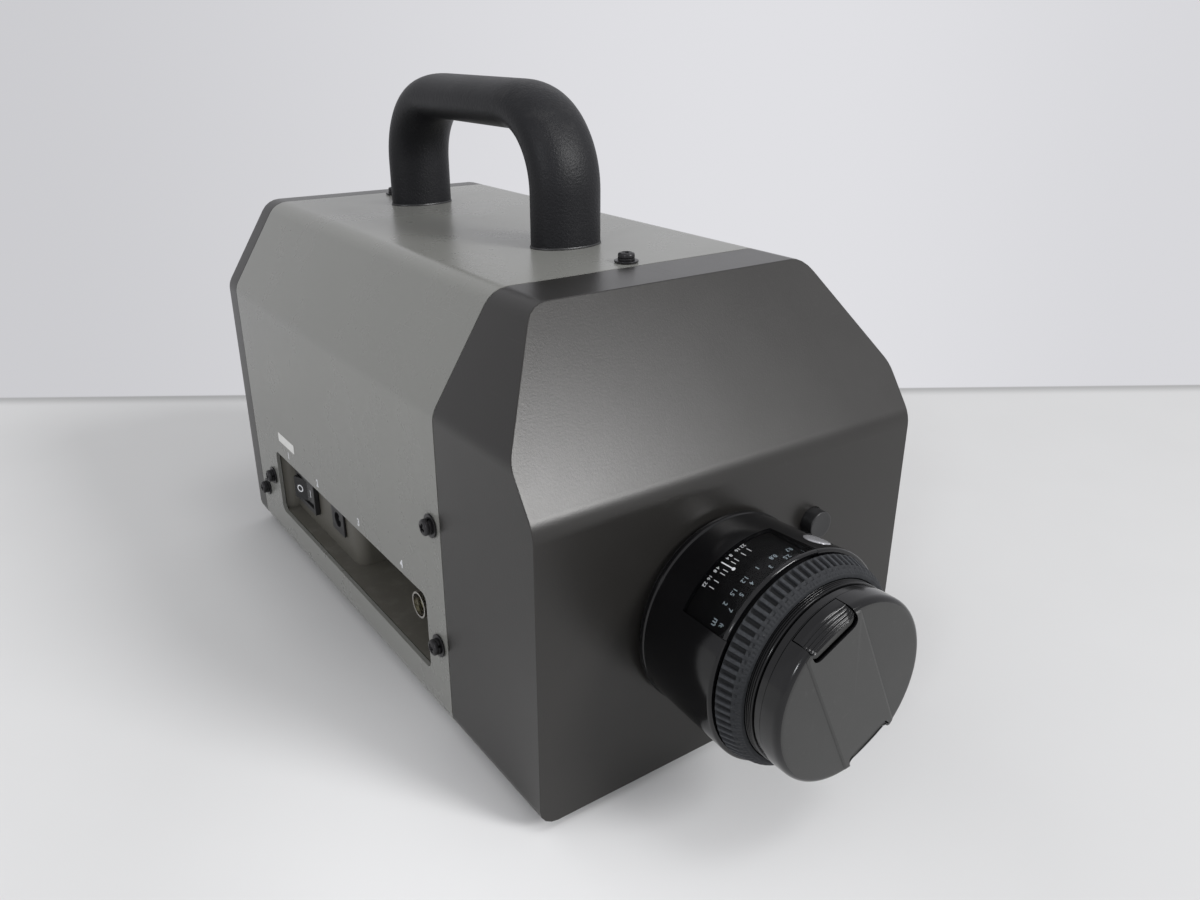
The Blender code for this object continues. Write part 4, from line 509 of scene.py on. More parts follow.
def cap_plastic(name, colour, facing=0.93):
    """Lens cap: glossy black round its side and rim, and a satin, finely speckled grey on what faces the front
    by more than the given share."""
    made = Finish(name)
    front = (made.facing("Y", "True Normal") * -1).rise(facing, facing + 0.055)
    ahead = made.axis(made.place, "Y") * -1
    satin = front * ahead.rise(CAP_FRONT - FACE - 0.0016, CAP_FRONT - FACE - 0.0013)
    speck = 0.93 + made.noise(0.0004) * 0.14 + (made.noise(0.012, 3.0) - 0.5) * 0.1
    rubbed = made.noise(0.0012, 2.0, 0.6, (1.0, 0.05, 1.0)).rise(0.66, 0.72) * 0.12
    face = made.mix(rubbed, made.tint(rgba(colour), speck), (0.12, 0.12, 0.115, 1.0))
    made.fixed(Specular_IOR_Level=0.45)
    made.feed("Base Color", made.mix(satin, (0.003, 0.003, 0.0035, 1.0), face))
    made.feed("Roughness", 0.14 + satin * 0.3 + (made.noise(0.01, 4.0, 0.6) - 0.5) * 0.08)
    made.bump(made.noise(0.00035) * satin, 0.00002)
    return made.material


def circuit_board(name):
    """Green solder mask with paler tracks, which follow the cells of a coarse grid."""
    made = Finish(name)
    values = {"Vector": made.place, "Scale": 140.0, "Mortar Size": 0.03}
    tracks = made.node("ShaderNodeTexBrick", {"offset": 0.37}, values, "Fac")
    mask = made.mix(tracks, (0.02, 0.11, 0.045, 1), (0.05, 0.2, 0.09, 1))
    made.feed("Base Color", made.tint(mask, 0.9 + made.noise(0.01) * 0.2))
    made.feed("Roughness", 0.38 + made.noise(0.003) * 0.15)
    made.bump(tracks, 0.00004)
    return made.material


def colour(name, description, default):
    """A property for a colour."""
    return FloatVectorProperty(
        name=name, description=description, subtype="COLOR", min=0, max=1, default=default,
    )


def length(name, description, least, most, default, precision=4):
    """A property for a length in metres."""
    return FloatProperty(
        name=name, description=description, unit="LENGTH", min=least, max=most, default=default,
        precision=precision,
    )


def number(name, description, most, default, subtype="NONE"):
    """A property for a number from 0 up."""
    return FloatProperty(
        name=name, description=description, subtype=subtype, min=0, max=most, default=default,
    )


class CaseLook(bpy.types.PropertyGroup):
    cover: colour("Cover paint", "Warm grey of the sheet cover", (0.212, 0.213, 0.2))
    bezel: colour("Bezel paint", "Bronze of the front bezel and the rear cap", (0.0245, 0.0232, 0.0216))
    liner: colour("Recess liner", "Olive grey of the connector panel", (0.105, 0.1, 0.085))
    cover_roughness: number("Cover roughness", "How matt the cover is", 1, 0.28, "FACTOR")
    bezel_roughness: number("Bezel roughness", "How matt the bezel is", 1, 0.31, "FACTOR")


class LensLook(bpy.types.PropertyGroup):
    ribs: IntProperty(
        name="Ribs", description="Ribs round the rubber of the focus ring", min=24, max=160, default=78,
    )
    rib_depth: length("Rib depth", "How deep the grooves between the ribs are", 0, 0.002, 0.0008, 5)
    rubber: colour("Rubber", "Colour of the focus ring and the eyecup", (0.03, 0.032, 0.036))
    cap: colour("Lens cap", "Colour of the satin lens cap", (0.036, 0.036, 0.035))
    print_height: length("Scale numbers", "Height of the distance numbers", 0.0005, 0.003, 0.0014, 5)


class HandleLook(bpy.types.PropertyGroup):
    width: length(
        "Width", "Width of the oval bar across the case", 0.01, 0.05,
        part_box("carry_handle")[1].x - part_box("carry_handle")[0].x,
    )
    depth: length("Depth", "Thickness of the bar in its own plane", 0.006, 0.03, 0.0166)
    bend: length("Bend", "Radius of the middle of the bar in its two bends", 0.01, 0.05, 0.0265)
    plastic: colour("Plastic", "Colour of the grained plastic", (0.0088, 0.009, 0.0106))


class StageLook(bpy.types.PropertyGroup):
    floor: colour("Floor", "Colour of the table top", (0.7, 0.7, 0.705))
    wall: colour("Backdrop", "Colour behind the table's far edge", (0.745, 0.745, 0.775))
    sky: number("Room light", "Strength of the light from all sides", 3, 0.675)
    key: number("Key light", "Strength of the light from the front right", 10, 1.85)
    overhead: number("Overhead light", "Strength of the light from above", 10, 0.36)


def look(name):
    """One of the scene's groups of sizes and colours."""
    return getattr(bpy.context.scene, "instrument_" + name)


FINISHES = {}


def finish(name):
    """The material of that name, made the first time it is asked for."""
    if name not in FINISHES:
        make, *values, options = recipe(name)
        FINISHES[name] = make(name, *values, **options)
    return FINISHES[name]


def recipe(name):
    """How a material is made: a function, its values and its options."""
    case, lens, handle = look("case"), look("lens"), look("handle")
    # painted shade: the lobes take the cap's colour 18 % darker than the raised band
    shaded_cap_colour = [c * 0.82 for c in lens.cap]
    pane_rim = BARREL_FRONT - FACE - 0.0014
    return {
        "cover_paint": (coating, case.cover, case.cover_roughness, 0.0, 0.03, 0.05, dict(
            flake=0.05, grain=0.000018, grain_size=0.0005, smudge=0.05, scuff=0.05)),
        "bezel_paint": (coating, case.bezel, case.bezel_roughness, 0.3, 0.05, 0.04, dict(
            flake=0.16, flake_size=0.00028, grain=0.000014, grain_size=0.0004, smudge=0.04, scuff=0.15,
            shine=0.6)),
        "recess_liner": (coating, case.liner, 0.5, 0.1, 0.06, 0.02, dict(
            flake=0.05, grain=0.00002, grain_size=0.0005, smudge=0.06, dust=0.12)),
        "handle_plastic": (coating, handle.plastic, 0.44, 0.0, 0.08, 0.01, dict(
            flake=0.3, flake_size=0.0005, grain=0.00012, grain_size=0.0006, smudge=0.06, dust=0.05,
            shine=0.24)),
        "lens_lacquer": (coating, (0.0028, 0.0028, 0.0033), 0.11, 0.0, 0.1, 0.01, dict(
            smudge=0.04, shine=0.4)),
        "soft_rubber": (coating, lens.rubber, 0.75, 0.0, 0.1, 0.006, dict(
            flake=0.1, grain=0.00003, grain_size=0.0004, smudge=0.08, dust=0.12)),
        "gloss_plastic": (coating, (0.005, 0.005, 0.0055), 0.16, 0.0, 0.08, 0.008, dict(
            smudge=0.05, shine=0.35)),
        "black_plastic": (coating, (0.013, 0.013, 0.014), 0.38, 0.0, 0.08, 0.008, dict(
            flake=0.06, grain=0.00002, grain_size=0.0004, smudge=0.06, dust=0.04)),
        "black_steel": (coating, (0.035, 0.034, 0.036), 0.33, 0.75, 0.15, 0.002, dict(
            flake=0.1, grain=0.000012, grain_size=0.0003, smudge=0.1, scuff=0.3)),
        "nickel": (coating, (0.62, 0.6, 0.56), 0.22, 1.0, 0.05, 0.006, dict(smudge=0.07, scuff=0.2)),
        "cast_metal": (coating, (0.42, 0.42, 0.43), 0.48, 0.9, 0.08, 0.01, dict(
            flake=0.1, grain=0.00004, grain_size=0.0008, smudge=0.08)),
        "matt_black": (coating, (0.003, 0.003, 0.0033), 0.55, 0.0, 0.1, 0.006, dict(shine=0.1)),
        "mirror_silver": (coating, (0.88, 0.88, 0.88), 0.05, 1.0, 0.01, 0.01, dict(smudge=0.02)),
        "white_print": (coating, (0.72, 0.73, 0.76), 0.5, 0.0, 0.04, 0.001, {}),
        "drum_print": (coating, (0.6, 0.72, 0.8), 0.5, 0.0, 0.05, 0.001, {}),
        "label_paper": (coating, (0.74, 0.74, 0.72), 0.55, 0.0, 0.05, 0.003, dict(
            flake=0.06, grain=0.00001, grain_size=0.0003, smudge=0.06)),
        "white_plastic": (coating, (0.62, 0.61, 0.56), 0.4, 0.0, 0.05, 0.003, dict(smudge=0.06)),
        "bead_enamel": (coating, (0.4, 0.4, 0.42), 0.25, 0.5, 0.05, 0.002, {}),
        # painted shade: the jack's core is a dark olive metal that stands for the shade deep inside the jack
        "jack_inside": (coating, (0.16, 0.15, 0.085), 0.4, 0.6, 0.1, 0.002, dict(smudge=0.08)),
        "focus_rubber": (ribbed_rubber, lens.rubber, {}),
        "cap_plastic": (cap_plastic, lens.cap, {}),
        "cap_band": (cap_plastic, lens.cap, 0.4, {}),
        "cap_lobes": (cap_plastic, shaded_cap_colour, {}),
        "smoked_glass": (glazing, (0.0028, 0.0028, 0.0033), 0.2, 0.05, pane_rim, {}),
        "coated_glass": (glazing, (0.02, 0.025, 0.05), 0.3, {}),
        "board_green": (circuit_board, {}),
    }[name]


# Finishes of the nodes that keep their own shape, by material slot, where slot and finish differ in name.
SLOT_FINISH = {
    "cover_grey": "cover_paint", "bezel_bronze": "bezel_paint", "bright_metal": "nickel",
    "grip_black": "handle_plastic", "panel_grey": "recess_liner", "lens_black": "lens_lacquer",
    "cap_black": "cap_plastic", "rubber": "soft_rubber", "scale_black": "matt_black",
    "glass": "coated_glass", "mirror": "mirror_silver",
}


class Maker(bpy.types.Operator):
    """Base of the operators that make pieces."""

    bl_options = {"REGISTER", "UNDO"}

    def execute(self, context):
        self.make(context.scene)
        return {"FINISHED"}


class INSTRUMENT_OT_case(Maker):
    """Cover, front bezel and rear cap, as smooth copies of their nodes."""

    bl_idname = "instrument.case"
    bl_label = "Case"

    def make(self, scene):
        dressed("body_cover", "case_cover", "cover_paint", sharp=25)
        dressed("front_bezel", "case_front_bezel", "bezel_paint", sharp=33)
        dressed("rear_cap", "case_rear_cap", "bezel_paint", sharp=33)


class INSTRUMENT_OT_feet(Maker):
    """Four rubber feet: a profile with eased edges, a waist and a dimple, turned round +Z."""

    bl_idname = "instrument.feet"
    bl_label = "Feet"

    def make(self, scene):
        for node in (f"foot_{row}_{side}" for row in ("front", "rear") for side in ("left", "right")):
            low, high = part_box(node)
            radius, tall, dimple = (high.x - low.x) / 2, high.z - low.z, 0.0006
            corners = [(0, dimple), (radius * 0.35, dimple), (radius * 0.42, 0), (radius * 0.94, 0),
                       (radius, tall * 0.45), (radius * 0.97, tall), (0, tall)]
            profile = eased(corners, [0, 0.0003, 0.0003, 0.0005, 0.0006, 0.0003, 0])
            centre = (*middle(node)[:2], low.z)
            shape = Shape().lathe(profile, 40, centre, UPWARD, ACROSS, -FORWARD, ring=False)
            hang(solid(shape, f"rubber_{node}"), "soft_rubber", node)


class INSTRUMENT_OT_handle(Maker):
    """The carry handle: an oval section, x = a cos t and n = b sin t to a power near 1, carried along two legs,
    two quarter bends and a straight bar, with a thin gasket round each leg's foot."""

    bl_idname = "instrument.handle"
    bl_label = "Handle"

    def make(self, scene):
        size = look("handle")
        low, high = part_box("carry_handle")
        wide, half = size.width / 2, size.depth / 2
        front, rear, foot, crest = low.y + half, high.y - half, low.z, high.z - half
        a = np.linspace(0, pi / 2, 25)
        leg = np.stack([np.full(7, front), np.linspace(foot, crest - size.bend, 8)[:-1]], 1)
        bend = np.stack([front + size.bend * (1 - np.cos(a)), crest - size.bend * (1 - np.sin(a))], 1)
        climb = np.concatenate([leg, bend])
        path = np.concatenate([climb, np.array((front + rear, 0)) + np.array((-1, 1)) * climb[::-1]])
        step = np.gradient(path, axis=0)
        step = step / np.linalg.norm(step, axis=1, keepdims=True)
        normal = np.stack([-step[:, 1], step[:, 0]], 1)
        t = np.linspace(0, tau, 56, endpoint=False)
        out = half * power(np.sin(t), 0.94)
        points = np.empty((len(path), len(t), 3))
        points[..., 0] = wide * power(np.cos(t), 0.94)
        points[..., 1:] = path[:, None] + out[None, :, None] * normal[:, None]
        hang(solid(Shape().sweep(points), "grip_handle"), "handle_plastic", "carry_handle", sharp=50)

        proud, thick = 0.0004, 0.0006
        collar = eased([(proud, 0), (0.0009, 0), (0.0007, thick), (proud, thick)], 0.0001, 2)
        grow, rise = collar[:, 0] - proud, collar[:, 1]
        for name, y in (("front", front), ("rear", rear)):
            ring = np.empty((len(t), len(collar), 3))
            ring[..., 0] = (wide + grow) * np.cos(t)[:, None]
            ring[..., 1] = y + (half + grow) * np.sin(t)[:, None]
            ring[..., 2] = foot - 0.0002 + rise
            gasket = solid(Shape().add(ring, net(len(t), len(collar), True, True)), f"grip_gasket_{name}")
            hang(gasket, "black_plastic", body="body", slot="grip_black")


class INSTRUMENT_OT_screws(Maker):
    """Cover screws: a flat washer, a split spring washer and a pan head with a cross recess. The recess is a
    depth on the polar grid of the head, the larger of two crossed slots that narrow with depth."""

    bl_idname = "instrument.screws"
    bl_label = "Screws"

    def cross(self, t, r, d):
        """The recess: -depth * the larger of two slots, on the head's crown only. A slot is 1 less a smooth
        step across its width, times 1 less one along its length."""
        width, long, depth, crown = (0.00042, 0.00056), (0.0012, 0.00165), 0.0012, 0.0026
        x, y = np.abs(r * np.cos(t)), np.abs(r * np.sin(t))
        slots = [(1 - smooth_step(across, *width)) * (1 - smooth_step(along, *long))
                 for across, along in ((x, y), (y, x))]
        return 0 * r, -depth * np.maximum(*slots) * (d > crown)

    def screw(self, *axis):
        """Washer, spring washer and head, turned round their axis. The spring washer is a section carried
        round most of a turn while it climbs, and the head's crown falls with the square of its radius."""
        shape = Shape().lathe(eased(rectangle(0.0017, 0.0039, 0, 0.0005), 0.00012, 2), 36, *axis)
        t = np.linspace(radians(8), radians(352), 34)[:, None]
        coil = eased(rectangle(0.0017, 0.00275, 0.00052, 0.00128), 0.00008, 1)
        shape.sweep(turned(t, coil[:, 0] + 0 * t, coil[:, 1] + 0.00008 * (t / tau - 0.5), *axis))
        edge, top, fall = 0.00215, 0.00315, 0.0003
        crown = np.linspace(edge, 0, 19)
        dome = top - fall * (crown / edge) ** 2
        head = [(0, 0.0013), (0.0025, 0.0013), (0.0027, 0.0015), (0.0027, 0.0022), (0.00258, 0.00258),
                (0.0024, 0.00275)]
        profile = np.concatenate([head, np.stack([crown, dome], 1)])
        return shape.lathe(profile, 72, *axis, ring=False, relief=self.cross)

    def make(self, scene):
        for node in sorted(n for n in NODES if n.startswith("screw_")):
            seat = middle(node)
            if "top" in node:
                outward, side, up = UPWARD, ACROSS, -FORWARD
                seat[2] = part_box("body_cover")[1].z
            else:
                sign = -1 if "left" in node else 1
                outward, side, up = sign * ACROSS, FORWARD, UPWARD
                seat[0] = -sign * LEFT
            spin = (sum(map(ord, node)) % 12) * 0.26
            turned_side = cos(spin) * side + sin(spin) * up
            turned_up = cos(spin) * up - sin(spin) * side
            shape = self.screw(seat + 0.0003 * outward, outward, turned_side, turned_up)
            shank = [(0, -0.0075), (0.0012, -0.0075), (0.0015, -0.0071), (0.0015, 0.0014), (0, 0.0014)]
            shape.lathe(shank, 24, seat, outward, side, up, ring=False)
            hang(solid(shape, node.replace("screw", "cover_screw")), "black_steel", node, sharp=40)


class INSTRUMENT_OT_ports(Maker):
    """The connector recess with its four ports, the plain numbers over them and the blank label."""

    bl_idname = "instrument.ports"
    bl_label = "Ports"

    def mark(self, text, share):
        """A mark on the rocker, on the plane that three rays find at that share of its length."""
        low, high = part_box("switch_rocker")
        y, z = low.y + (high.y - low.y) * share, (low.z + high.z) / 2
        spots = []
        for dy, dz in ((-0.001, -0.001), (0.001, -0.001), (0, 0.001)):
            start = Vector((LEFT, y + dy, z + dz))
            hit, spot, _, _ = NODES["switch_rocker"].ray_cast(start, Vector((1, 0, 0)))
            if not hit:
                raise RuntimeError("the rocker isn't where its mark should be")
            spots.append(spot)
        origin = spots[0]
        normal = (spots[1] - origin).cross(spots[2] - origin)

        def place(u, v, w):
            dy, dz = y - u - origin.y, z + v - origin.z
            x = origin.x - normal.y / normal.x * dy - normal.z / normal.x * dz
            return np.stack([x - 0.00006 - w, y - u, z + v], -1)

        return lettering(text, 0.0034, place, 0.00004, weight=0.012)

    def make(self, scene):
        marks = gather([self.mark("O", 0.76), self.mark("I", 0.27)])
        hang(solid(marks, "rocker_marks"), "white_print", body="rocker", slot="white_plastic")
        dressed("connector_panel", "recess_liner", "recess_liner", sharp=30)
        dressed("switch_housing", "switch_frame", "black_plastic", bevel=0.0002)
        dressed("switch_rocker", "switch_rocker_cap", "gloss_plastic", bevel=0.00025)
        dressed("power_inlet", "power_socket", "black_plastic", bevel=0.0002)
        dressed("serial_shell", "data_socket_shell", "nickel", sharp=40)
        dressed("serial_insert", "data_socket_insert", "black_plastic")
        dressed("sync_jack_shell", "signal_jack_shell", "nickel", sharp=40)
        # the core takes the dark olive of the painted shade inside the jack
        dressed("sync_jack_core", "signal_jack_core", "jack_inside")
        ports = ("switch_rocker", "power_inlet", "serial_shell", "sync_jack_shell")
        number_height, numbers_at, label_at = 0.0032, 0.0512, 0.0566
        numbers = gather(
            lettering(str(k), number_height, on_left_side(middle(node)[1], numbers_at, 0.00001), weight=0.035)
            for k, node in enumerate(ports, 1)
        )
        hang(solid(numbers, "port_numbers"), "white_print", body="body", slot="white_plastic")
        outline = eased(rectangle(-0.0095, 0.0095, -0.002, 0.002), 0.0004, 3)
        place = on_left_side(middle("switch_rocker")[1] + 0.001, label_at)
        label = solid(Shape().extrude(outline, 0.00002, 0.00012, place), "blank_label")
        hang(label, "label_paper", body="body", slot="white_plastic", bevel=0.00004)


class INSTRUMENT_OT_barrel(Maker):
    """Lens mount ring, barrel, window pane, index bead and the depth marks. The barrel is a turned profile with
    the window's sector cut out of it, and the marks are wrapped round it: turn = place + u / radius."""

    bl_idname = "instrument.barrel"
    bl_label = "Lens barrel"

    def marks(self):
        """The index line with its dot, and ticks and numbers on both sides of it."""
        centre = 119.5

        def skin(distance):
            """Radius of the pane's outside, on which the marks lie."""
            return barrel_radius(distance) + 0.00006

        def flat(turn, outline):
            """An outline of (u, distance) wrapped round the lens at a turn."""
            return Shape().extrude(outline, 0, PRINT_DEPTH, wrapped(turn, 0, skin))

        def tick(turn, rear, front, width):
            """A straight mark along the lens."""
            return flat(turn, rectangle(-width / 2, width / 2, rear, front))

        ring, radius, dot_at = np.linspace(0, tau, 24, endpoint=False), 0.00055, 0.0223
        dot = np.stack([radius * np.cos(ring), dot_at + radius * np.sin(ring)], 1)
        shapes = [tick(centre, 0.0174, 0.0218, 0.00034), flat(centre, dot)]
        stops = (("4", 2.8, 3.4), ("8", 5.0, 5.6), ("16", 9.6, 10.0), ("22", 13.4, 13.8))
        for text, tick_at, number_at in stops:
            for sign in (-1, 1):
                place = wrapped(centre + sign * number_at, 0.018, skin)
                shapes.append(tick(centre + sign * tick_at, 0.0197, 0.0216, 0.00017))
                shapes.append(lettering(text, 0.0011, place, weight=-0.008))
        return gather(shapes)

    def make(self, scene):
        rear, front = BARREL_REAR, BARREL_FRONT
        lip = barrel_radius(rear) + 0.00045
        mouth, ledge, throat, tail = 0.0302, 0.0275, 0.0187, 0.0217
        corners = [
            (mouth, front), (barrel_radius(front), front), (barrel_radius(rear + 0.0019), rear + 0.0019),
            (lip, rear + 0.0013), (lip, rear), (tail, rear), (tail, -0.0065), (throat, -0.0065),
            (throat, 0.0111), (ledge, 0.0111), (ledge, 0.0145), (mouth, 0.0145),
        ]
        radii = [0.0002, 0.0011, 0.0002, 0.0003, 0.0003, 0.0001, 0.0002, 0.0002, 0, 0, 0, 0]
        barrel = solid(Shape().lathe(eased(corners, radii, 5), 180), "lens_barrel_shell")
        t = np.radians(np.linspace(WINDOW_FROM, WINDOW_TO, 48))[:, None]
        r, d = np.array(rectangle(0.0296, 0.036, WINDOW_REAR, 0.036)).T
        carve(barrel, solid(Shape().sweep(on_lens(t, d, r)), "window_tool"))
        hang(barrel, "lens_lacquer", "lens_barrel", sharp=30)

        t = np.radians(np.linspace(WINDOW_FROM + 0.35, WINDOW_TO - 0.35, 64))[:, None]
        edges = rectangle(-0.0011, 0.00002, WINDOW_REAR + 0.0002, front - 0.0001)
        sunk, d = eased(edges, [0, 0.0003, 0.0009, 0], 4).T
        pane = solid(Shape().sweep(on_lens(t, d, sunk + barrel_radius(d))), "scale_pane")
        hang(pane, "smoked_glass", "scale_window")
        hang(solid(self.marks(), "depth_marks"), "white_print", body="lens", slot="white_plastic")

        radius, proud = 0.0039, 0.00045
        around, over = np.linspace(0, tau, 40, endpoint=False), np.linspace(-pi / 2, pi / 2, 21)
        t, p = np.meshgrid(around, over, indexing="ij")
        away = radius * power(np.cos(p), 0.5)
        place = wrapped(70.3, 0.0268, barrel_radius)
        bead = Shape().add(place(away * np.cos(t), away * np.sin(t), proud * np.sin(p)), net(40, 21, True))
        hang(solid(bead, "index_bead"), "bead_enamel", body="lens", slot="white_plastic")
        dressed("lens_mount", "mount_ring", "black_steel", sharp=30)


class INSTRUMENT_OT_focus(Maker):
    """Focus ring and the scale drum behind the window. The rubber's radius is its profile less a rib wave,
    a smooth step of cos(ribs * turn), over the rear of its width, with fine beads along its front edge."""

    bl_idname = "instrument.focus"
    bl_label = "Focus ring"

    def ribbed(self, share):
        """Where over the rubber's width the ribs are, from its rear to its front."""
        return hump(share, 0.04, 0.1, 0.64, 0.7)

    def wear(self, rubber, ribs, rear, front):
        """Marks the tops of the ribs and, weaker, the plain band in front of them; the grooves, left at 0, get
        painted shade.
        """
        x, y, z = coordinates(rubber.data).T
        turn = np.arctan2(z - LENS.z, x - LENS.x)
        share = (FACE - y - rear) / (front - rear)
        top = smooth_step(0.5 + 0.5 * np.cos(ribs * turn), 0.3, 0.7)
        ribbed = self.ribbed(share)
        layer = rubber.data.attributes.new("wear", "FLOAT", "POINT")
        layer.data.foreach_set("value", top * ribbed + 0.45 * (1 - ribbed) * (share > 0.02))

    def rubber(self, size):
        """The rubber's grid: its base radius less the grooves between the ribs, the pits between the beads
        and the scallops of the plain band, each a wave of the turn times a hump over the width."""
        rear, front = reach("focus_ring")
        share = np.concatenate([[0, 0.015, 0.05, 0.09, 0.13], np.linspace(0.2, 0.6, 6),
                                [0.64, 0.67, 0.7, 0.74, 0.79, 0.83, 0.87, 0.91, 0.95, 0.98, 1.0]])
        base = np.interp(share, [0, 0.03, 0.08, 0.66, 0.72, 0.97, 1.0],
                         [0.0308, 0.0313, 0.03145, 0.0304, 0.0301, 0.0288, 0.0284])
        t = np.linspace(0, tau, size.ribs * 12, endpoint=False)[:, None]
        groove = 1 - smooth_step(0.5 + 0.5 * np.cos(size.ribs * t), 0.32, 0.68)
        pit = 0.5 - 0.5 * np.cos(size.ribs * 2 * t)
        beads = 0.0003 * pit * hump(share, 0.84, 0.88, 0.94, 0.98)
        scallops = 0.0004 * groove * hump(share, 0.72, 0.75, 0.79, 0.82)
        r = base - size.rib_depth * groove * self.ribbed(share) - beads - scallops
        bore = np.full((len(t), 1), 0.0275)
        r = np.concatenate([bore, r, bore], 1)
        d = np.concatenate([[rear], rear + (front - rear) * share, [front]])
        ring = Shape().add(on_lens(t, d, r), net(len(t), len(d), True, True))
        rubber = solid(ring, "focus_ring_rubber")
        self.wear(rubber, size.ribs, rear, front)
        hang(rubber, "focus_rubber", "focus_ring", sharp=60)

    def make(self, scene):
        size = look("lens")
        self.rubber(size)
        drum = eased(rectangle(0.0283, DRUM_RADIUS, *reach("scale_drum")), 0.0002, 2)
        hang(solid(Shape().lathe(drum, 144), "scale_drum_shell"), "matt_black", "scale_drum")
        metres = (("0.35", 16), ("0.4", 33), ("0.45", 48), ("0.5", 62), ("0.6", 76), ("0.7", 88), ("0.8", 99.2),
                  ("1", 110.5), ("1.2", 120.1), ("1.5", 128.6), ("2", 135.6), ("m", 146.3))
        feet = (("1.2", 18), ("1.3", 35), ("1.5", 51), ("1.7", 66), ("2", 82), ("2.5", 94), ("3", 105.7),
                ("4", 119.3), ("5", 127.4), ("7", 137), ("ft", 145.8))

        def skin(_):
            """Radius on which the numbers lie, the same at every distance."""
            return DRUM_RADIUS + PRINT_DEPTH

        numbers = gather(
            lettering(text, size.print_height, wrapped(turn, distance, skin), weight=0.012)
            for distance, row in ((0.0258, metres), (0.0283, feet)) for text, turn in row
        )
        hang(solid(numbers, "scale_numbers"), "drum_print", body="focus", slot="white_plastic")


class INSTRUMENT_OT_front_barrel(Maker):
    """The barrel that carries the front glass: a turned profile with fine grooves near its front rim."""

    bl_idname = "instrument.front_barrel"
    bl_label = "Front barrel"

    def make(self, scene):
        rear, front = reach("front_barrel")
        skin, bore = 0.0272, 0.0249
        seat = bore + 0.0001
        grooves = []
        for start in (0.0006, 0.0013, 0.002):
            edge = front - start
            grooves += [(skin, edge + 0.0002), (skin - 0.00035, edge), (skin - 0.00035, edge - 0.00015),
                        (skin, edge - 0.0003)]
        profile = [(bore, front), (skin - 0.0002, front), *grooves, (skin, rear), (bore, rear)]
        radii = [0.0002, 0.0002] + [0.00004] * len(grooves) + [0.0002, 0]
        shape = Shape().lathe(eased(profile, radii, 2), 160)
        low, high = reach("front_element")
        cell = [(0.0173, low - 0.0004), (seat, low - 0.0004), (seat, high - 0.0006), (0.0185, high - 0.0006),
                (0.0173, high - 0.0022)]
        shape.lathe(eased(cell, 0.0002, 2), 96)
        low, high = reach("rear_element")
        shape.lathe(eased(rectangle(0.0143, seat, low - 0.0002, high), 0.0002, 2), 96)
        hang(solid(shape, "front_barrel_shell"), "gloss_plastic", "front_barrel", sharp=30)


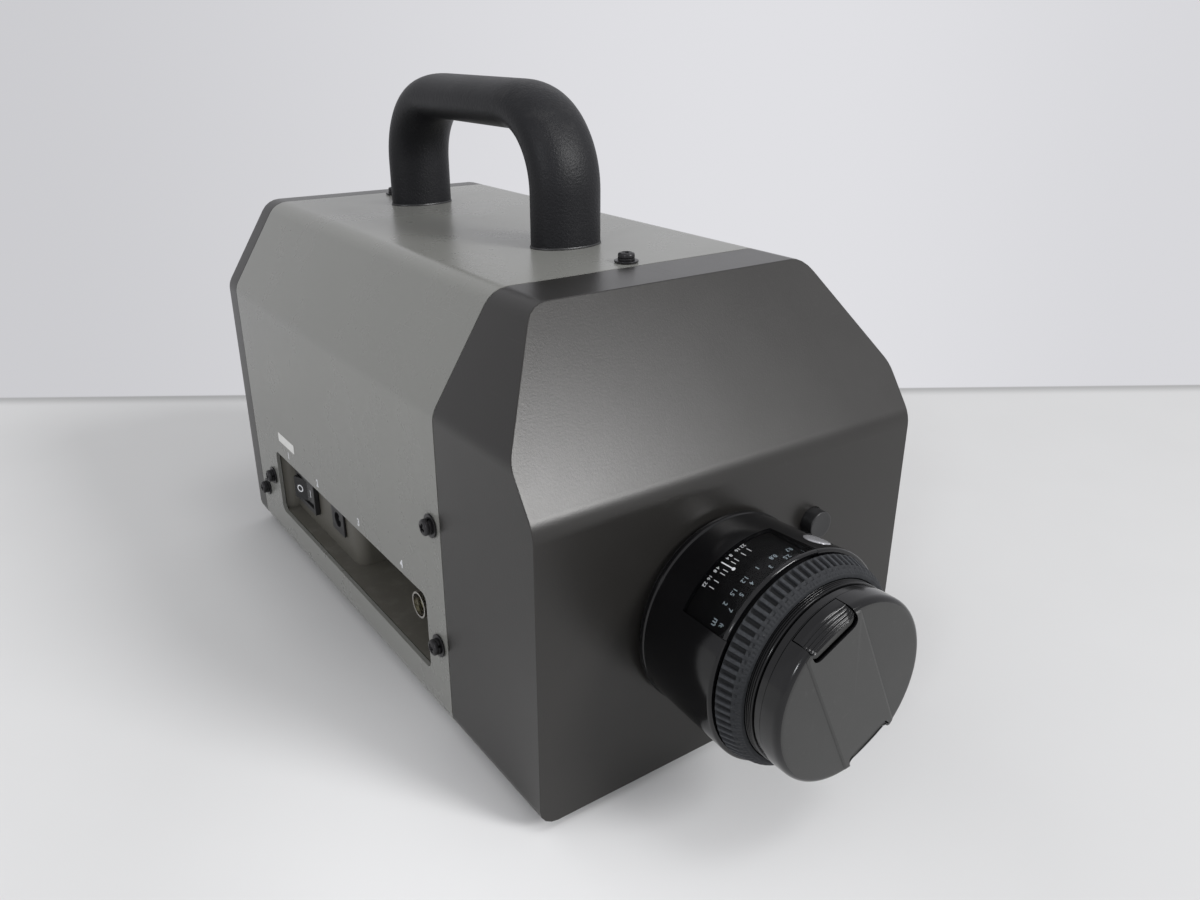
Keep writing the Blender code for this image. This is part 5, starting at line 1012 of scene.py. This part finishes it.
class INSTRUMENT_OT_lens_cap(Maker):
    """Lens cap with a raised middle band and two tabs. The cap is a turned profile, the band an outline whose
    half width is the smaller of a circle and a strip, and a tab's section is stretched out to the cap's rim."""

    bl_idname = "instrument.lens_cap"
    bl_label = "Lens cap"

    def slots(self, inner):
        """Tools for the two slots that the tabs slide in, from that distance off the middle outwards."""
        tools = []
        for sign in (1, -1):
            for half, outer, low, high, ease in (
                (0.0083, 0.031, 0.0469, 0.056, 0.0026), (0.0033, 0.0249, 0.037, 0.0474, 0.0),
            ):
                plan = eased(rectangle(-half, half, sign * inner, sign * outer), [ease, ease, 0, 0], 5)
                tools.append(solid(Shape().extrude(plan, low, high, on_cap), "slot_tool"))
        return tools

    def band(self):
        """Four levels that narrow towards the front. At each turn t the radius is the smaller of the
        circle's and the strip's half width over |cos t|."""
        t = np.linspace(0, tau, 512, endpoint=False)
        levels = []
        for half, radius, down in ((0.0103, 0.0259, 0.0007), (0.0102, 0.0258, 0.0004),
                                   (0.0100, 0.0256, 0.0002), (0.0095, 0.0252, 0)):
            r = np.minimum(radius, half / np.maximum(np.abs(np.cos(t)), 1e-6))
            levels.append(on_cap(r * np.cos(t), r * np.sin(t), CAP_FRONT - down))
        return Shape().sweep(np.stack(levels))

    def tab(self, sign):
        """One tab: its section is flat, low enough to slide under the band, then falls in five small ridges
        to the rim: fall * s^1.5 less a ridge |sin 5 pi s|^0.7. A stem and a hook reach into the cap."""
        half, corner, sunk, back, fall = 0.008, 0.0022, 0.0009, 0.0062, 0.0031
        across = np.linspace(-half, half, 49)[:, None]
        ridge = np.linspace(0, 1, 61)
        wave = 0.00038 * np.abs(np.sin(ridge * pi * 5.0)) ** 0.7
        share = np.concatenate([[0, 0.0, 0.02, 0.2], 0.3 + 0.7 * ridge, [1.0]])
        down = np.concatenate([[back, 0.0012, 0.00092, sunk], fall * ridge**1.5 - wave + sunk, [back]])
        away = np.clip(np.abs(across) - (half - corner), 0, corner)
        inner = 0.0212 + corner - np.sqrt(corner**2 - away**2)
        outer = np.sqrt(CAP_RADIUS**2 - across**2)
        along = sign * (inner + (outer - inner) * share)
        shape = Shape().sweep(on_cap(across, along, CAP_FRONT - down))
        shape.extrude(rectangle(-0.002, 0.002, sign * 0.0188, sign * 0.0232), 0.0481, 0.0508, on_cap)
        return shape.extrude(rectangle(-0.003, 0.003, sign * 0.0223, sign * 0.0243), 0.0415, 0.05, on_cap)

    def make(self, scene):
        lobe, rim, inside = CAP_FRONT - 0.00042, CAP_RADIUS, 0.0511
        corners = [
            (0, lobe), (rim, lobe), (rim, 0.0466), (rim - 0.0005, 0.0463), (rim - 0.0005, 0.044),
            (0.0243, 0.044), (0.0243, 0.0412), (0.023, 0.0412), (0.023, inside), (0, inside),
        ]
        profile = eased(corners, [0, 0.0023, 0.0002, 0.0001, 0.0003, 0.0001, 0.0003, 0.0002, 0.0005, 0], 8)
        cap = solid(Shape().lathe(profile, 200, ring=False), "lens_cap_shell")
        # the lobes take the darker copy of the cap's finish, painted shade
        hang(carve(cap, *self.slots(0.0189)), "cap_lobes", "lens_cap", sharp=30)
        band = carve(solid(self.band(), "lens_cap_band"), *self.slots(0.0206))
        hang(band, "cap_band", body="cap", slot="cap_black", sharp=20)
        for label, sign in (("upper", 1), ("lower", -1)):
            hang(solid(self.tab(sign), f"cap_grip_{label}"), "cap_plastic", f"cap_tab_{label}", sharp=40)


class INSTRUMENT_OT_button(Maker):
    """Lens release button: a turned profile with an eased edge and a slightly hollow top."""

    bl_idname = "instrument.button"
    bl_label = "Release button"

    def make(self, scene):
        out = reach("release_button")[1]
        radius, flange, under, end = 0.0046, 0.0062, -0.0046, -0.0061
        corners = [(0, out - 0.0002), (radius * 0.6, out - 0.0001), (radius, out), (radius, under),
                   (flange, under), (flange, end), (0, end)]
        profile = eased(corners, [0, 0.0006, 0.0005, 0, 0.0002, 0.0002, 0], 5)
        x, _, z = middle("release_button")
        button = solid(Shape().lathe(profile, 64, (x, FACE, z), ring=False), "release_button_cap")
        hang(button, "black_plastic", "release_button", sharp=40)


class INSTRUMENT_OT_eyepiece(Maker):
    """Dioptre ring with rounded ribs and the rubber eyecup, turned round +Y. The ring's radius is its profile
    plus a rib wave of the turn, and the cup flares to a rolled lip."""

    bl_idname = "instrument.eyepiece"
    bl_label = "Eyepiece"

    def make(self, scene):
        low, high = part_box("dioptre_ring")
        x, _, z = middle("dioptre_ring")
        axis = (x, 0.0, z), -FORWARD, ACROSS, UPWARD
        radius, start, end = (high.x - low.x) / 2, low.y, high.y
        edge = eased([(0.0101, start), (radius, start), (radius, end), (0.0102, end)],
                     [0.0001, 0.0004, 0.0004, 0.0002], 3)
        profile = np.concatenate([edge, [(0.0102, end - 0.0005), (0.0101, start + 0.0005)]])

        def ribs(t, r, d):
            """Takes a smooth step of cos(36 t) off the outside."""
            return -0.0005 * smooth_step(np.cos(36 * t), -0.2, 0.5) * (r > radius - 0.0006), 0 * d

        ring = solid(Shape().lathe(profile, 288, *axis, relief=ribs), "dioptre_grip")
        hang(ring, "black_plastic", "dioptre_ring", sharp=40)
        low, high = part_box("eyecup")
        wide, start, end = (high.x - low.x) / 2, low.y, high.y
        profile = eased([
            (0.0131, start), (0.0139, start + 0.0008), (0.0142, start + 0.003), (wide - 0.0008, end - 0.002),
            (wide, end - 0.0009), (wide - 0.0004, end), (wide - 0.0018, end - 0.0003),
            (wide - 0.0034, end - 0.0026), (0.0118, start + 0.0022), (0.0108, start + 0.001), (0.0106, start),
        ], 0.0006, 4)
        hang(solid(Shape().lathe(profile, 96, *axis), "eyecup_rubber"), "soft_rubber", "eyecup", sharp=50)
        dressed("finder_tube", "finder_tube_shell", "matt_black", sharp=35)


class INSTRUMENT_OT_inside(Maker):
    """Finishes for every node that keeps its own shape, which is all that stands inside the case."""

    bl_idname = "instrument.inside"
    bl_label = "Inside and other nodes"

    def make(self, scene):
        for node, obj in NODES.items():
            if not obj.hide_render:
                material = finish(SLOT_FINISH.get(SLOT_OF[node], SLOT_OF[node]))
                if obj.data.materials:
                    for slot in obj.material_slots:
                        slot.material = material
                else:
                    obj.data.materials.append(material)


# The photograph's camera: focal length on a 36 mm wide frame, direction and place.
CAMERA_LENS = 29.208
CAMERA_AZIMUTH, CAMERA_ELEVATION, CAMERA_ROLL = -0.620191778, 0.402510602, 0.00304303
CAMERA_PLACE = Vector((-0.18455, -0.29103, 0.21391))
PHOTO_FOCUS = CAMERA_LENS / 36 * 1200


def camera_axes():
    """Right, up and back of the photograph's camera."""
    a, e = CAMERA_AZIMUTH, CAMERA_ELEVATION
    back = Vector((sin(a) * cos(e), -cos(a) * cos(e), sin(e)))
    right = (-back).cross(Vector((0, 0, 1))).normalized()
    up = right.cross(-back)
    c, s = cos(CAMERA_ROLL), sin(CAMERA_ROLL)
    return c * right + s * up, -s * right + c * up, back


def floor_point(x, y):
    """Where a ray through a pixel of the 1200 by 900 frame meets the floor."""
    right, up, back = camera_axes()
    ray = (x - 600) / PHOTO_FOCUS * right - (y - 450) / PHOTO_FOCUS * up - back
    return CAMERA_PLACE + ray * (-CAMERA_PLACE.z / ray.z)


class INSTRUMENT_OT_stage(Maker):
    """Pale floor, soft lights and the photograph's camera."""

    bl_idname = "instrument.stage"
    bl_label = "Stage"

    def wall_tone(self, wiring, ray):
        """The backdrop's tone by a ray's bearing, the sideways over the forward part, with painted shade:
        darker to the left, brightest a little right of the middle and a little darker to the right."""
        right, _, back = camera_axes()
        ahead = Vector((-back.x, -back.y, 0)).normalized()
        across = wiring.vector("DOT_PRODUCT", ray, right)
        bearing = across.math("DIVIDE", wiring.vector("DOT_PRODUCT", ray, ahead))
        wall = Vector(look("stage").wall)
        # painted shade: 0.81 of the backdrop's colour on the left, full colour right of the middle, 0.92
        # further right
        left = wiring.mix(bearing.rise(-0.62, 0.16), rgba(wall * 0.81), rgba(wall))
        return wiring.mix(bearing.rise(0.2, 0.6), left, rgba(wall * 0.92))

    def floor_finish(self):
        """Table colour up to the line where the photograph's table meets its wall, with painted shade in a soft
        band before it and towards the wall, painted light next to the case, and beyond the line the backdrop,
        which gives off its own tone."""
        one, two = floor_point(0, 398), floor_point(1200, 385)
        away = Vector((one.y - two.y, two.x - one.x, 0)).normalized()
        if away.dot(one - CAMERA_PLACE) < 0:
            away = -away
        line = away.dot(one)
        made = Finish("table_top")
        depth = made.vector("DOT_PRODUCT", made.place, away)
        beyond = depth.rise(line - 0.001, line + 0.002)
        # painted shade: a soft dark band just before the line, where table and wall meet
        painted_corner_shade = depth.rise(line - 0.016, line) * 0.31
        # painted shade: the table's colour falls by up to 14 % towards the wall
        deep = depth.rise(line - 0.5, line) * 0.14
        # painted light: the table's colour is lifted by up to 20 % next to the case, where its shadow falls
        painted_light_near_case = 0.2 - made.vector("DISTANCE", made.place, (-0.055, -0.1, 0)).rise(0.04, 0.14) * 0.2
        tone = 0.985 + made.noise(0.05, 4.0) * 0.03 + painted_light_near_case - painted_corner_shade - deep
        ray = made.vector("SUBTRACT", made.place, CAMERA_PLACE, "Vector")
        black = (0, 0, 0, 1)
        made.feed("Base Color", made.mix(beyond, made.tint(rgba(look("stage").floor), tone), black))
        made.feed("Roughness", 0.55 + made.noise(0.02, 3.0) * 0.1)
        made.feed("Emission Color", made.mix(beyond, black, self.wall_tone(made, ray)))
        made.fixed(Emission_Strength=1.0, Specular_IOR_Level=0.0)
        return made.material

    def sun(self, scene, name, source, width, strength, tone=(1, 1, 1)):
        """An even light from the direction of its source, as soft as its width in degrees."""
        data = bpy.data.lights.new(name, "SUN")
        data.energy, data.angle, data.color = strength, radians(width), tone
        obj = bpy.data.objects.new(name, data)
        scene.collection.objects.link(obj)
        obj.rotation_euler = (-Vector(source)).to_track_quat("-Z", "Y").to_euler()

    def sky(self, scene):
        """A room whose light comes from above and behind, dimmer on the camera's side; the camera, metal and
        glass see the backdrop's pale tone with its painted shade."""
        world = bpy.data.worlds.new("room")
        world.use_nodes = True
        scene.world = world
        room = Wiring(world.node_tree)
        ray = room.node("ShaderNodeTexCoord", output="Generated")
        toward = room.vector("DOT_PRODUCT", ray, (-0.05, 0.86, 0.5))
        light = room.tint((1, 1, 1.01), look("stage").sky * (0.82 + toward.rise(-0.8, 0.9) * 0.28))
        camera, glossy, through = (
            room.node("ShaderNodeLightPath", output=f"Is {kind} Ray")
            for kind in ("Camera", "Glossy", "Transmission")
        )
        seen = (camera + glossy).math("ADD", through, clamp=True)
        # camera, glossy and transmission rays see the backdrop's tone with its painted shade
        tone = room.mix(seen, light, self.wall_tone(room, ray))
        world.node_tree.links.new(tone.socket, world.node_tree.nodes["Background"].inputs["Color"])

    def make(self, scene):
        stage = look("stage")
        grid = np.linspace(-30, 30, 3)
        x, y = np.meshgrid(grid, grid, indexing="ij")
        floor = solid(Shape().add(np.stack([x, y, 0 * x - 0.00002], -1), net(3, 3)), "floor")
        if floor.data.polygons[0].normal.z < 0:
            floor.data.flip_normals()
        floor.data.materials.append(self.floor_finish())
        self.sky(scene)
        self.sun(scene, "ceiling", (0.15, -0.4, 0.92), 16, stage.overhead)
        self.sun(scene, "key", (0.4, -0.76, 0.5), 18, stage.key)
        self.sun(scene, "window", (-0.75, -0.42, 0.45), 9, 0.42, (0.95, 0.975, 1))

        data = bpy.data.cameras.new("photograph")
        data.sensor_width, data.lens = 36.0, CAMERA_LENS
        data.clip_start, data.clip_end = 0.01, 100
        camera = bpy.data.objects.new("photograph", data)
        scene.collection.objects.link(camera)
        turn = Matrix(camera_axes()).transposed()
        camera.matrix_world = Matrix.Translation(CAMERA_PLACE) @ turn.to_4x4()
        scene.camera = camera
        scene.view_settings.view_transform = "Standard"


MAKERS = (
    INSTRUMENT_OT_case, INSTRUMENT_OT_feet, INSTRUMENT_OT_handle, INSTRUMENT_OT_screws, INSTRUMENT_OT_ports,
    INSTRUMENT_OT_barrel, INSTRUMENT_OT_focus, INSTRUMENT_OT_front_barrel, INSTRUMENT_OT_lens_cap,
    INSTRUMENT_OT_button, INSTRUMENT_OT_eyepiece, INSTRUMENT_OT_inside, INSTRUMENT_OT_stage,
)
LOOKS = {"case": CaseLook, "lens": LensLook, "handle": HandleLook, "stage": StageLook}


class VIEW3D_PT_instrument(bpy.types.Panel):
    """Sizes and colours of the instrument, and the operators that make its pieces."""

    bl_label = "Spectroradiometer"
    bl_space_type = "VIEW_3D"
    bl_region_type = "UI"
    bl_category = "Instrument"

    def draw(self, context):
        for name, group in LOOKS.items():
            box = self.layout.box()
            box.label(text=name.capitalize())
            for key in group.__annotations__:
                box.prop(getattr(context.scene, "instrument_" + name), key)
        for maker in MAKERS:
            self.layout.operator(maker.bl_idname)


def register():
    for group in LOOKS.values():
        bpy.utils.register_class(group)
    for name, group in LOOKS.items():
        setattr(bpy.types.Scene, "instrument_" + name, PointerProperty(type=group))
    for maker in (*MAKERS, VIEW3D_PT_instrument):
        bpy.utils.register_class(maker)


def unregister():
    for maker in (VIEW3D_PT_instrument, *reversed(MAKERS)):
        bpy.utils.unregister_class(maker)
    for name in LOOKS:
        delattr(bpy.types.Scene, "instrument_" + name)
    for group in LOOKS.values():
        bpy.utils.unregister_class(group)


def main():
    register()
    for maker in MAKERS:
        group, call = maker.bl_idname.split(".")
        getattr(getattr(bpy.ops, group), call)()


if __name__ == "__main__":
    main()
